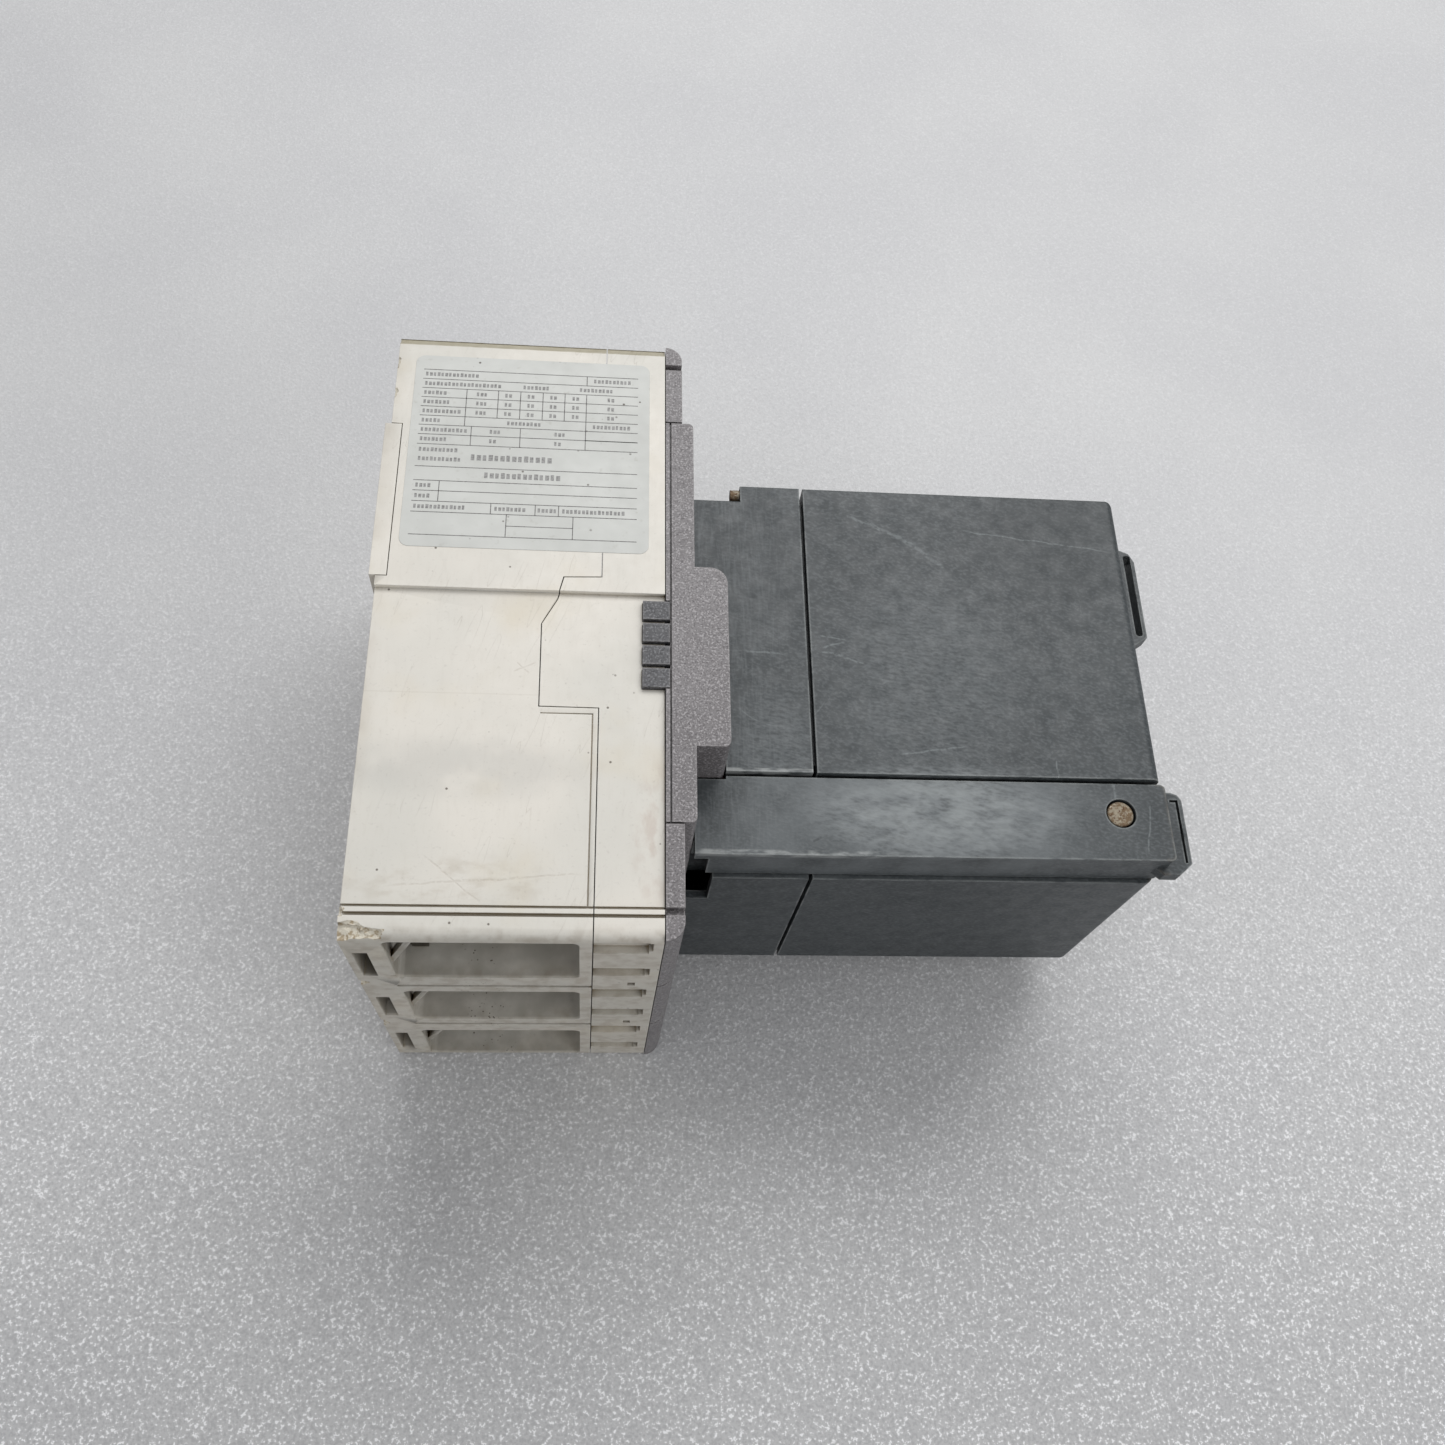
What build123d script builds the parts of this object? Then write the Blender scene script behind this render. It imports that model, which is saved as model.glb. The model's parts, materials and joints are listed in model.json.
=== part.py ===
from build123d import *
import os
from math import cos, pi, radians, sin

# Three-pole moulded-case circuit breaker with a motor operator on its front, in millimetres.
# X runs from the rear mounting face to the front, Y up the breaker's height (line side is +Y),
# and Z across its three poles. The origin is the centre of the rear mounting face.

# ---- driving dimensions: breaker -------------------------------------------------------------
PITCH = 35.0  # from pole to pole
POLES = (-PITCH, 0.0, PITCH)
HALF_W = 1.5 * PITCH
HALF_H = 75.0
PAD = 1.4  # height of the rear pad that the breaker is mounted on
SPLIT = 50.8  # plane between the base and the front cover
SEAM = 0.2  # open gap along a seam
CASE_FRONT = 65.0
WALL = 2.3
END_RADIUS = 2.6  # rounded edges along X at the four corners of the case
CELL_BACK = 7.0  # floor of a pole's cell
CELL_HALF = PITCH / 2 - WALL
CELL_END = 52.0
CHAMBER_START = 56.0
CHAMBER_X = (9.5, 48.2)
CHAMBER_HALF = 12.9
CHAMBER_MIDDLES = (-37.3, 0.0, 37.3)
BAR_X = (12.5, 16.0)  # copper terminal bars
BAR_HALF = 10.0
TERMINAL_Y = 62.6  # terminal bolt
TERMINAL_HOLE_R = 4.25
FIXING_Y = 60.0  # mounting holes, on the two partitions
FIXING_R = 2.4
STEP_Y = 4.6  # the side below this height stands back by STEP_DEPTH
STEP_DEPTH = 1.2
END_GROOVES = (((-68.5, -67.6), 1.7), ((-70.25, -69.5), 0.8), ((72.4, 74.2), 0.9))  # Y, depth

# ---- driving dimensions: mask, mechanism -----------------------------------------------------
MASK_BACK = 65.2
MASK_THIN = 69.1
MASK_FRONT = 71.7
MASK_Y = (-49.7, 52.0)
COLLAR_FRONT = 79.1
COLLAR_Y = (-32.4, 12.0)
COLLAR_MID = sum(COLLAR_Y) / 2
TOGGLE_AXIS = (34.0, COLLAR_MID)
TOGGLE_OFF = -16.0  # direction of the toggle at rest, in degrees from +X
TOGGLE_SLOT = 17.6  # half length of the slot that the toggle swings in
ROTOR_AXIS = (22.0, -12.0)
ROTOR_OPEN = 62.0  # direction of the contact arms at rest; they close at 90 degrees
ROTOR_R = 5.0
RUNNING = 0.05  # radial clearance of a running fit
TRIP_AXIS = (44.5, -38.5)
TEST_AT = (-27.6, 25.0)  # Y, Z of the test button
DIAL_AT = (-22.0, -24.0)

# ---- driving dimensions: motor operator ------------------------------------------------------
OP_Z = (-38.8, 37.0)
OP_Y = (-51.6, 46.0)
OP_BACK = 72.0
OP_FLANGE_Y = 41.5
OP_STEP_X = 84.4
OP_FLOOR = (81.5, 84.5)
BASE_FRONT = 99.1
COVER_BACK = 100.0
COVER_FRONT = 179.7
OP_WALL = 3.0
REBATE_Y = -31.2  # corner rebate that the side bar lies in
REBATE_Z = 23.7
ROD_X = 92.0
ROD_Z = 14.0
ROD_R = 3.0
FORK_Y = -25.2  # centre of the carriage's fork at rest
GEAR_AT = (109.15, 0.0)
MOTOR_AT = (134.3, 0.0)
GEAR_BAND = (28.4, 31.4)  # the wheel and the motor pinion
RACK_BAND = (-20.0, -10.0)
SHAFT_R = 4.0
PLATE_BAND = (26.6, 28.0)
SELECTOR_AT = (22.0, -20.0)
WINDOW_AT = (22.0, 4.0)
ON_AT = (-14.0, -20.0)
OFF_AT = (-14.0, 2.0)
KEY_AT = (-38.0, -20.0)
SLIDE_Y = (8.7, 37.3)
SLIDE_Z = (23.5, 27.5)
RIVET_AT = (169.4, -39.3)
OP_SCREWS = ((40.3, -30.0), (40.3, 30.0), (-40.0, -22.0), (-40.0, 9.6))
FLANGE_SCREWS = ((43.9, -35.2), (43.9, 35.2))
FLANGE_THREAD_R = 0.7

os.makedirs("parts", exist_ok=True)


def block(x, y, z, mode=Mode.ADD):
    """A box given by its span along each axis."""
    with Locations((sum(x) / 2, sum(y) / 2, sum(z) / 2)):
        Box(x[1] - x[0], y[1] - y[0], z[1] - z[0], mode=mode)


def rod_x(x, y, z, radius, mode=Mode.ADD):
    """A cylinder along X."""
    with Locations((sum(x) / 2, y, z)):
        Cylinder(radius, x[1] - x[0], rotation=(0, 90, 0), mode=mode)


def rod_y(x, y, z, radius, mode=Mode.ADD):
    """A cylinder along Y."""
    with Locations((x, sum(y) / 2, z)):
        Cylinder(radius, y[1] - y[0], rotation=(90, 0, 0), mode=mode)


def rod_z(x, y, z, radius, mode=Mode.ADD):
    """A cylinder along Z."""
    with Locations((x, y, sum(z) / 2)):
        Cylinder(radius, z[1] - z[0], mode=mode)


def prism(points, z, mode=Mode.ADD):
    """A straight-sided outline in X and Y between two Z levels."""
    with BuildSketch(Plane.XY.offset(z[0])) as outline:
        with BuildLine():
            Polyline(*points, close=True)
        make_face()
    extrude(outline.sketch, amount=z[1] - z[0], mode=mode)


def swung_plane(axis, angle, z):
    """A plane at one Z level whose x direction lies at an angle from +X about the axis."""
    turn = radians(angle)
    return Plane(origin=(*axis, z), x_dir=(cos(turn), sin(turn), 0), z_dir=(0, 0, 1))


def swung_block(axis, angle, along, across, z, mode=Mode.ADD):
    """A box that lies along a swung plane."""
    with BuildSketch(swung_plane(axis, angle, z[0])) as outline:
        with Locations((sum(along) / 2, sum(across) / 2)):
            Rectangle(along[1] - along[0], across[1] - across[0])
    extrude(outline.sketch, amount=z[1] - z[0], mode=mode)


def gear_teeth(axis, teeth, pitch_r, z, phase=0.0):
    """A gear whose straight-flanked teeth are a little thin, so that it runs with backlash."""
    module = 2 * pitch_r / teeth
    levels = ((pitch_r - 1.2 * module, 0.33), (pitch_r, 0.21), (pitch_r + 0.85 * module, 0.1))
    steps = [(r, -half) for r, half in levels] + [(r, half) for r, half in reversed(levels)]
    points = []
    for tooth in range(teeth):
        for radius, offset in steps:
            angle = radians(phase) + 2 * pi * (tooth + offset) / teeth
            points.append((axis[0] + radius * cos(angle), axis[1] + radius * sin(angle)))
    prism(points, z)


def mirrored(span):
    """The same span on the other side of the middle plane."""
    return (-span[1], -span[0])


def both_sides(span):
    """A span on the +Z side and its mirror image."""
    return (span, mirrored(span))


def seam_outline(gap):
    """Outline of the front cover's side tongue, whose edge is the stepped seam."""
    return [
        (SPLIT + SEAM, 8.6 - gap),
        (42.4 + gap, 8.3 - gap),
        (41.2 + gap, 3.1),
        (37.9 + gap, -3.2),
        (38.1 + gap, -23.5 + gap),
        (SPLIT + SEAM, -23.6 + gap),
    ]


def case_side_details(x):
    """Step and grooves along both side faces of the case."""
    for y, depth in (((-67.6, STEP_Y), STEP_DEPTH), *END_GROOVES):
        for side in both_sides((HALF_W - depth, HALF_W)):
            block(x, y, side, Mode.SUBTRACT)


# ---- breaker: housing ------------------------------------------------------------------------
BEAD_GROOVE = 0.3  # width and depth
BEAD_X = 49.8
BEAD_Y = -24.8

with BuildPart() as base_case:
    block((PAD, SPLIT), (-HALF_H, HALF_H), (-HALF_W, HALF_W))
    fillet(base_case.edges().filter_by(Axis.X), radius=END_RADIUS)
    case_side_details((PAD, SPLIT))
    block((0, PAD), (-68, 68), (-44, 44))
    for pole in POLES:
        cell = (pole - CELL_HALF, pole + CELL_HALF)
        block((CELL_BACK, SPLIT), (-CELL_END, CELL_END), cell, Mode.SUBTRACT)
    for end in (-1, 1):
        with BuildSketch(Plane.XZ.offset(-end * HALF_H)):
            with Locations(*[(sum(CHAMBER_X) / 2, middle) for middle in CHAMBER_MIDDLES]):
                RectangleRounded(CHAMBER_X[1] - CHAMBER_X[0], 2 * CHAMBER_HALF, 1.8)
        extrude(amount=end * (HALF_H - CHAMBER_START), mode=Mode.SUBTRACT)
        outer = sorted((end * 67, end * HALF_H))
        pocket = sorted((end * 69, end * HALF_H))
        wall = sorted((end * CELL_END, end * CHAMBER_START))
        rib_y = sorted((end * CHAMBER_START, end * 73.2))
        for pole, middle in zip(POLES, CHAMBER_MIDDLES):
            # window for the terminal bar, exhaust vent, rear pocket and corner rib
            bar_window = (BAR_X[0] - 0.2, BAR_X[1] + 0.2)
            block(bar_window, wall, (pole - 10.2, pole + 10.2), Mode.SUBTRACT)
            block((26, 44), wall, (pole - 9, pole + 9), Mode.SUBTRACT)
            block((3, 6), pocket, (pole - 9.5, pole + 7.5), Mode.SUBTRACT)
            far = middle + CHAMBER_HALF
            rib = [(16.9, far + 0.1), (15.4, far + 0.1), (9.4, middle - 4.0), (9.4, middle - 8.0)]
            with BuildSketch(Plane.XZ.offset(-rib_y[1])):
                with BuildLine():
                    Polyline(*rib, close=True)
                make_face()
            extrude(amount=rib_y[1] - rib_y[0])
            free = sorted((end * 56, end * 71.4))
            block((9.4, 17.0), free, (middle - 10.2, far), Mode.SUBTRACT)
        for partition in (-PITCH / 2, PITCH / 2):
            slot = (partition - 0.8, partition + 0.8)
            block((9.0, SPLIT), outer, slot, Mode.SUBTRACT)
            rod_x((0, SPLIT), end * FIXING_Y, partition, FIXING_R, Mode.SUBTRACT)
            rod_x((28, SPLIT), end * 46, partition, 1.5, Mode.SUBTRACT)
    rod_z(*ROTOR_AXIS, (-25, 25), ROTOR_R + RUNNING, Mode.SUBTRACT)
    block((38.5, SPLIT), (-44, -27), (-22, 22), Mode.SUBTRACT)
    for side in both_sides((HALF_W - WALL, HALF_W)):
        prism(seam_outline(0), side, Mode.SUBTRACT)
    for side in both_sides((50.7, HALF_W)):
        block((PAD, 4.0), (7.0, 48.6), side, Mode.SUBTRACT)
    # moulded bead along the seam with the front cover
    for side in both_sides((HALF_W - STEP_DEPTH - BEAD_GROOVE, HALF_W)):
        block((BEAD_X - BEAD_GROOVE, BEAD_X), (-67.6, BEAD_Y), side, Mode.SUBTRACT)
        block((38.6, BEAD_X), (BEAD_Y - BEAD_GROOVE, BEAD_Y), side, Mode.SUBTRACT)
base_case.part.label = "base_case"
export_step(base_case.part, "parts/base_case.step")

with BuildPart() as rear_strips:
    for side in both_sides((50.7, HALF_W)):
        block((0, 3.8), (7.2, 48.4), side)
    for side in both_sides((44.2, 50.7)):
        block((0, PAD), (7.2, 48.4), side)
rear_strips.part.label = "rear_strips"
export_step(rear_strips.part, "parts/rear_strips.step")

COMB_X = (60.1, 66.1)
COMB_Y = [(-1.9 - 5.6 * tab, 2.7 - 5.6 * tab) for tab in range(4)]

with BuildPart() as front_cover:
    block((SPLIT + SEAM, CASE_FRONT), (-HALF_H, HALF_H), (-HALF_W, HALF_W))
    fillet(front_cover.edges().filter_by(Axis.X), radius=END_RADIUS)
    block((SPLIT, 62.3), (-CELL_END, CELL_END), (-50.2, 50.2), Mode.SUBTRACT)
    for side in both_sides((HALF_W - WALL, HALF_W)):
        prism(seam_outline(SEAM), side)
    case_side_details((SPLIT - 14, CASE_FRONT))
    toggle_slot = (COLLAR_MID - TOGGLE_SLOT, COLLAR_MID + TOGGLE_SLOT)
    block((62, CASE_FRONT), toggle_slot, (-8.5, 8.5), Mode.SUBTRACT)
    rod_x((62, CASE_FRONT), *TEST_AT, 2.2, Mode.SUBTRACT)
    rod_x((62, CASE_FRONT), *DIAL_AT, 2.2, Mode.SUBTRACT)
    for place in OP_SCREWS:
        rod_x((SPLIT + SEAM, CASE_FRONT), *place, 4.2)
        rod_x((SPLIT, CASE_FRONT), *place, 2.0, Mode.SUBTRACT)
    for end in (-1, 1):
        band = sorted((end * (HALF_H - 1.7), end * HALF_H))
        slit = sorted((end * (HALF_H - 4), end * HALF_H))
        for pole in POLES:
            # stepped bands and keying slits for a terminal cover, and the terminal bolt's shaft
            block((SPLIT, 62.2), band, (pole + 8.6, pole + 15.6), Mode.SUBTRACT)
            block((SPLIT, 62.0), band, (pole - 8.2, pole - 2.4), Mode.SUBTRACT)
            block((61.8, 63.0), slit, (pole + 10.4, pole + 15.4), Mode.SUBTRACT)
            block((61.8, 63.0), slit, (pole - 7.8, pole - 2.6), Mode.SUBTRACT)
            rod_x((SPLIT, CASE_FRONT), end * TERMINAL_Y, pole, 7.0, Mode.SUBTRACT)
        for partition in (-PITCH / 2, PITCH / 2):
            rod_x((SPLIT, CASE_FRONT), end * FIXING_Y, partition, FIXING_R, Mode.SUBTRACT)
            rod_x((58, CASE_FRONT), end * FIXING_Y, partition, 4.2, Mode.SUBTRACT)
            block((58.6, 60.2), slit, (partition + 1.0, partition + 3.6), Mode.SUBTRACT)
            rod_x((SPLIT + SEAM, 63), end * 46, partition, 3.6)
            rod_x((SPLIT, CASE_FRONT), end * 46, partition, 1.6, Mode.SUBTRACT)
            rod_x((62.5, CASE_FRONT), end * 46, partition, 3.0, Mode.SUBTRACT)
    for tab in COMB_Y:
        for side in both_sides((49, HALF_W)):
            block((COMB_X[0] - 0.1, CASE_FRONT), (tab[0] - 0.1, tab[1] + 0.1), side, Mode.SUBTRACT)
front_cover.part.label = "front_cover"
export_step(front_cover.part, "parts/front_cover.step")

with BuildPart() as outlet_combs:
    for side in both_sides((50.2, HALF_W)):
        for tab in COMB_Y:
            block(COMB_X, tab, side)
    for spine in both_sides((48.8, 50.2)):
        block((60.1, 62.2), (-18.7, 2.7), spine)
outlet_combs.part.label = "outlet_combs"
export_step(outlet_combs.part, "parts/outlet_combs.step")

with BuildPart() as rating_label:
    with BuildSketch(Plane.XY.offset(HALF_W)):
        with Locations((33.5, 41.9)):
            RectangleRounded(55.6, 54.0, 2.2)
    extrude(amount=0.15)
rating_label.part.label = "rating_label"
export_step(rating_label.part, "parts/rating_label.step")

with BuildPart() as case_screws:
    for y in (-46, 46):
        for z in (-PITCH / 2, PITCH / 2):
            rod_x((30, 62.5), y, z, 1.5)
            rod_x((62.5, 64.6), y, z, 2.9)
            block((63.8, 64.6), (y - 2, y + 2), (z - 0.4, z + 0.4), Mode.SUBTRACT)
case_screws.part.label = "case_screws"
export_step(case_screws.part, "parts/case_screws.step")

# ---- breaker: front mask and pole caps -------------------------------------------------------
with BuildPart() as front_mask:
    block((MASK_BACK, MASK_FRONT), MASK_Y, (-HALF_W, HALF_W))
    fillet(front_mask.edges().filter_by(Axis.Z).group_by(Axis.X)[-1], radius=1.2)
    with BuildSketch(Plane.XY.offset(-HALF_W)):
        with BuildLine():
            Polyline((71, COLLAR_Y[1]), (71, COLLAR_Y[0]), (77.6, COLLAR_Y[0]))
            RadiusArc((77.6, COLLAR_Y[0]), (COLLAR_FRONT, -30.9), -1.5)
            Line((COLLAR_FRONT, -30.9), (COLLAR_FRONT, 8.0))
            RadiusArc((COLLAR_FRONT, 8.0), (75.1, COLLAR_Y[1]), -4.0)
            Line((75.1, COLLAR_Y[1]), (71, COLLAR_Y[1]))
        make_face()
    extrude(amount=2 * HALF_W)
    block((MASK_BACK, 69.2), (-47.2, 49.5), (-50, 50), Mode.SUBTRACT)
    block((69, 76.6), (COLLAR_Y[0] + 2.5, COLLAR_Y[1] - 2.5), (-50, 50), Mode.SUBTRACT)
    toggle_slot = (COLLAR_MID - TOGGLE_SLOT, COLLAR_MID + TOGGLE_SLOT)
    block((76, COLLAR_FRONT), toggle_slot, (-8.5, 8.5), Mode.SUBTRACT)
    rod_x((69, COLLAR_FRONT), *TEST_AT, 3.4, Mode.SUBTRACT)
    rod_x((69, COLLAR_FRONT), *DIAL_AT, 6.4, Mode.SUBTRACT)
    for side in both_sides((HALF_W - 0.6, HALF_W)):
        block((66.1, 66.5), MASK_Y, side, Mode.SUBTRACT)
    for side in both_sides((48, HALF_W)):
        block((MASK_BACK, COMB_X[1] + 0.1), (-19.0, 3.0), side, Mode.SUBTRACT)
    for place in OP_SCREWS:
        rod_x((69, MASK_FRONT), *place, 2.0, Mode.SUBTRACT)
front_mask.part.label = "front_mask"
export_step(front_mask.part, "parts/front_mask.step")

CAP_GAP = 0.6


def pole_caps(end, inner):
    """Three end caps of the mask, rounded over towards the terminals."""
    edges = (-HALF_W, -PITCH / 2, PITCH / 2, HALF_W)
    for index in range(3):
        low = edges[index] + (CAP_GAP if index > 0 else 0)
        high = edges[index + 1] - (CAP_GAP if index < 2 else 0)
        with BuildSketch(Plane.XY.offset(low)) as outline:
            with BuildLine():
                Line((MASK_BACK, end * inner), (MASK_THIN, end * inner))
                Line((MASK_THIN, end * inner), (MASK_THIN, end * 71.2))
                RadiusArc((MASK_THIN, end * 71.2), (65.6, end * 74.9), end * -4.2)
                Line((65.6, end * 74.9), (MASK_BACK, end * 74.9))
                Line((MASK_BACK, end * 74.9), (MASK_BACK, end * inner))
            make_face()
        extrude(outline.sketch, amount=high - low)
    for side in both_sides((HALF_W - 1.5, HALF_W)):
        block((MASK_BACK, MASK_THIN), sorted((end * 68.0, end * 69.6)), side, Mode.SUBTRACT)
    for partition in (-PITCH / 2, PITCH / 2):
        rod_x((MASK_BACK, MASK_THIN), end * FIXING_Y, partition, 4.6, Mode.SUBTRACT)


with BuildPart() as lower_pole_caps:
    pole_caps(-1, 50.1)
lower_pole_caps.part.label = "lower_pole_caps"
export_step(lower_pole_caps.part, "parts/lower_pole_caps.step")

with BuildPart() as upper_pole_caps:
    pole_caps(1, 52.4)
upper_pole_caps.part.label = "upper_pole_caps"
export_step(upper_pole_caps.part, "parts/upper_pole_caps.step")

# ---- breaker: current path -------------------------------------------------------------------
with BuildPart() as line_terminals:
    for pole in POLES:
        block(BAR_X, (18, 68.4), (pole - BAR_HALF, pole + BAR_HALF))
        rod_x(BAR_X, TERMINAL_Y, pole, TERMINAL_HOLE_R, Mode.SUBTRACT)
line_terminals.part.label = "line_terminals"
export_step(line_terminals.part, "parts/line_terminals.step")

with BuildPart() as load_terminals:
    for pole in POLES:
        block(BAR_X, (-68.4, -30), (pole - BAR_HALF, pole + BAR_HALF))
        rod_x(BAR_X, -TERMINAL_Y, pole, TERMINAL_HOLE_R, Mode.SUBTRACT)
load_terminals.part.label = "load_terminals"
export_step(load_terminals.part, "parts/load_terminals.step")

with BuildPart() as terminal_nuts:
    with BuildSketch(Plane.YZ.offset(9.5)):
        with Locations(*[(y, pole) for y in (-TERMINAL_Y, TERMINAL_Y) for pole in POLES]):
            RegularPolygon(6.5, 6, major_radius=False, rotation=30)
            Circle(TERMINAL_HOLE_R, mode=Mode.SUBTRACT)
    extrude(amount=BAR_X[0] - 9.5)
terminal_nuts.part.label = "terminal_nuts"
export_step(terminal_nuts.part, "parts/terminal_nuts.step")

with BuildPart() as fixed_contacts:
    for pole in POLES:
        block((BAR_X[1], 18.2), (19, 27), (pole - 3.5, pole + 3.5))
fixed_contacts.part.label = "fixed_contacts"
export_step(fixed_contacts.part, "parts/fixed_contacts.step")

with BuildPart() as contact_rotor:
    rod_z(*ROTOR_AXIS, (-46, 46), ROTOR_R)
    for pole in POLES:
        rod_z(*ROTOR_AXIS, (pole - 8, pole + 8), 9.5)
        arm_band = (pole - 4, pole + 4)
        swung_block(ROTOR_AXIS, ROTOR_OPEN, (6, 12), (-2, 2), arm_band, Mode.SUBTRACT)
contact_rotor.part.label = "contact_rotor"
export_step(contact_rotor.part, "parts/contact_rotor.step")

with BuildPart() as moving_contacts:
    for pole in POLES:
        swung_block(ROTOR_AXIS, ROTOR_OPEN, (6, 38), (-2, 2), (pole - 4, pole + 4))
moving_contacts.part.label = "moving_contacts"
export_step(moving_contacts.part, "parts/moving_contacts.step")

with BuildPart() as contact_tips:
    for pole in POLES:
        swung_block(ROTOR_AXIS, ROTOR_OPEN, (32, 38), (2, 3.5), (pole - 3.5, pole + 3.5))
contact_tips.part.label = "contact_tips"
export_step(contact_tips.part, "parts/contact_tips.step")

with BuildPart() as flexible_braids:
    for pole in POLES:
        with BuildSketch(Plane.XY.offset(pole - 5)):
            with BuildLine():
                Line((16.0, -36), (19.0, -36))
                TangentArc((19.0, -36), (22.5, -32.5), tangent=(1, 0))
                Line((22.5, -32.5), (22.5, -22.5))
                Line((22.5, -22.5), (20.0, -22.5))
                Line((20.0, -22.5), (20.0, -32.0))
                Line((20.0, -32.0), (18.5, -33.5))
                Line((18.5, -33.5), (16.0, -33.5))
                Line((16.0, -33.5), (16.0, -36))
            make_face()
        extrude(amount=10)
flexible_braids.part.label = "flexible_braids"
export_step(flexible_braids.part, "parts/flexible_braids.step")

with BuildPart() as arc_plates:
    for pole in POLES:
        for plate in range(8):
            x = 20.5 + 3.3 * plate
            block((x, x + 1.2), (30, 50), (pole - 11, pole + 11))
            notch = [(30, pole - 5), (30, pole + 5), (38, pole)]
            with BuildSketch(Plane.YZ.offset(x)):
                with BuildLine():
                    Polyline(*notch, close=True)
                make_face()
            extrude(amount=1.2, mode=Mode.SUBTRACT)
arc_plates.part.label = "arc_plates"
export_step(arc_plates.part, "parts/arc_plates.step")

with BuildPart() as arc_cheeks:
    for pole in POLES:
        for side in ((pole - 13, pole - 11), (pole + 11, pole + 13)):
            block((18.5, 46.5), (29, 51), side)
arc_cheeks.part.label = "arc_cheeks"
export_step(arc_cheeks.part, "parts/arc_cheeks.step")

# ---- breaker: operating mechanism and trip unit ----------------------------------------------
with BuildPart() as mechanism_plates:
    for side in both_sides((12.5, 14.0)):
        outline = [(30, -26), (58, -26), (58, 4), (50, 10), (30, 10)]
        prism(outline, side)
        rod_z(*TOGGLE_AXIS, side, 2.0, Mode.SUBTRACT)
mechanism_plates.part.label = "mechanism_plates"
export_step(mechanism_plates.part, "parts/mechanism_plates.step")

with BuildPart() as yoke_pin:
    rod_z(*TOGGLE_AXIS, (-14, 14), 2.0)
yoke_pin.part.label = "yoke_pin"
export_step(yoke_pin.part, "parts/yoke_pin.step")

with BuildPart() as toggle_yoke:
    for side in both_sides((9.5, 11.5)):
        swung_block(TOGGLE_AXIS, TOGGLE_OFF, (0, 17), (-4, 4), side)
        rod_z(*TOGGLE_AXIS, side, 4.0)
        rod_z(*TOGGLE_AXIS, side, 2.0 + RUNNING, Mode.SUBTRACT)
    swung_block(TOGGLE_AXIS, TOGGLE_OFF, (14, 17), (-4, 4), (-9.5, 9.5))
toggle_yoke.part.label = "toggle_yoke"
export_step(toggle_yoke.part, "parts/toggle_yoke.step")

with BuildPart() as toggle_handle:
    swung_block(TOGGLE_AXIS, TOGGLE_OFF, (17, 27), (-6, 6), (-7, 7))
    swung_block(TOGGLE_AXIS, TOGGLE_OFF, (27, 56), (-4, 4), (-7, 7))
    with BuildSketch(swung_plane(TOGGLE_AXIS, TOGGLE_OFF, -11)):
        Circle(27.8)
        Circle(26.6, mode=Mode.SUBTRACT)
        with Locations((35, 0)):
            Rectangle(26, 30, mode=Mode.INTERSECT)
    extrude(amount=22)
toggle_handle.part.label = "toggle_handle"
export_step(toggle_handle.part, "parts/toggle_handle.step")

with BuildPart() as main_springs:
    for z in (-6.8, 6.8):
        for coil in range(7):
            ring = swung_plane(TOGGLE_AXIS, TOGGLE_OFF, z)
            start = 2.6 + 1.6 * coil
            centre = ring.from_local_coords((start, 0, 0))
            plane = Plane(origin=centre, x_dir=(0, 0, 1), z_dir=ring.x_dir)
            with BuildSketch(plane):
                Circle(2.3 if coil % 2 == 0 else 1.7)
            extrude(amount=1.6)
main_springs.part.label = "main_springs"
export_step(main_springs.part, "parts/main_springs.step")

with BuildPart() as bimetals:
    for pole in POLES:
        block((BAR_X[1], 40), (-37.2, -36.0), (pole - 5, pole + 5))
bimetals.part.label = "bimetals"
export_step(bimetals.part, "parts/bimetals.step")

with BuildPart() as magnet_yokes:
    for pole in POLES:
        block((8, 26), (-50, -42), (pole - 13, pole + 13))
        block((10.2, 26), (-50, -42), (pole - 10.5, pole + 10.5), Mode.SUBTRACT)
magnet_yokes.part.label = "magnet_yokes"
export_step(magnet_yokes.part, "parts/magnet_yokes.step")

with BuildPart() as trip_bar:
    rod_z(*TRIP_AXIS, (-48, 48), 2.4)
    for pole in POLES:
        block((37, 44), (-39.4, -38.0), (pole - 3, pole + 3))
    block((43.5, 45.5), (-38.5, -26.0), (22, 28))
trip_bar.part.label = "trip_bar"
export_step(trip_bar.part, "parts/trip_bar.step")

with BuildPart() as test_button:
    rod_x((45.9, 74), *TEST_AT, 1.8)
    rod_x((74, 79.9), *TEST_AT, 3.0)
test_button.part.label = "test_button"
export_step(test_button.part, "parts/test_button.step")

with BuildPart() as adjuster_dial:
    rod_x((54, 74), *DIAL_AT, 1.8)
    rod_x((74, 79.5), *DIAL_AT, 6.0)
    y, z = DIAL_AT
    block((78.5, 79.5), (y - 4.5, y + 4.5), (z - 0.7, z + 0.7), Mode.SUBTRACT)
adjuster_dial.part.label = "adjuster_dial"
export_step(adjuster_dial.part, "parts/adjuster_dial.step")

# ---- motor operator: housing -----------------------------------------------------------------
LIP_FRONT = 103.0
EDGE_R = 0.6
LIP = 2.0  # thickness of the lip that the cover slides over
INNER_Y = (OP_Y[0] + OP_WALL, OP_Y[1] - OP_WALL)
INNER_Z = (OP_Z[0] + OP_WALL, OP_Z[1] - OP_WALL)
RAIL_Y = (INNER_Y[0] - 1.5, INNER_Y[1] + 1.5)

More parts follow.
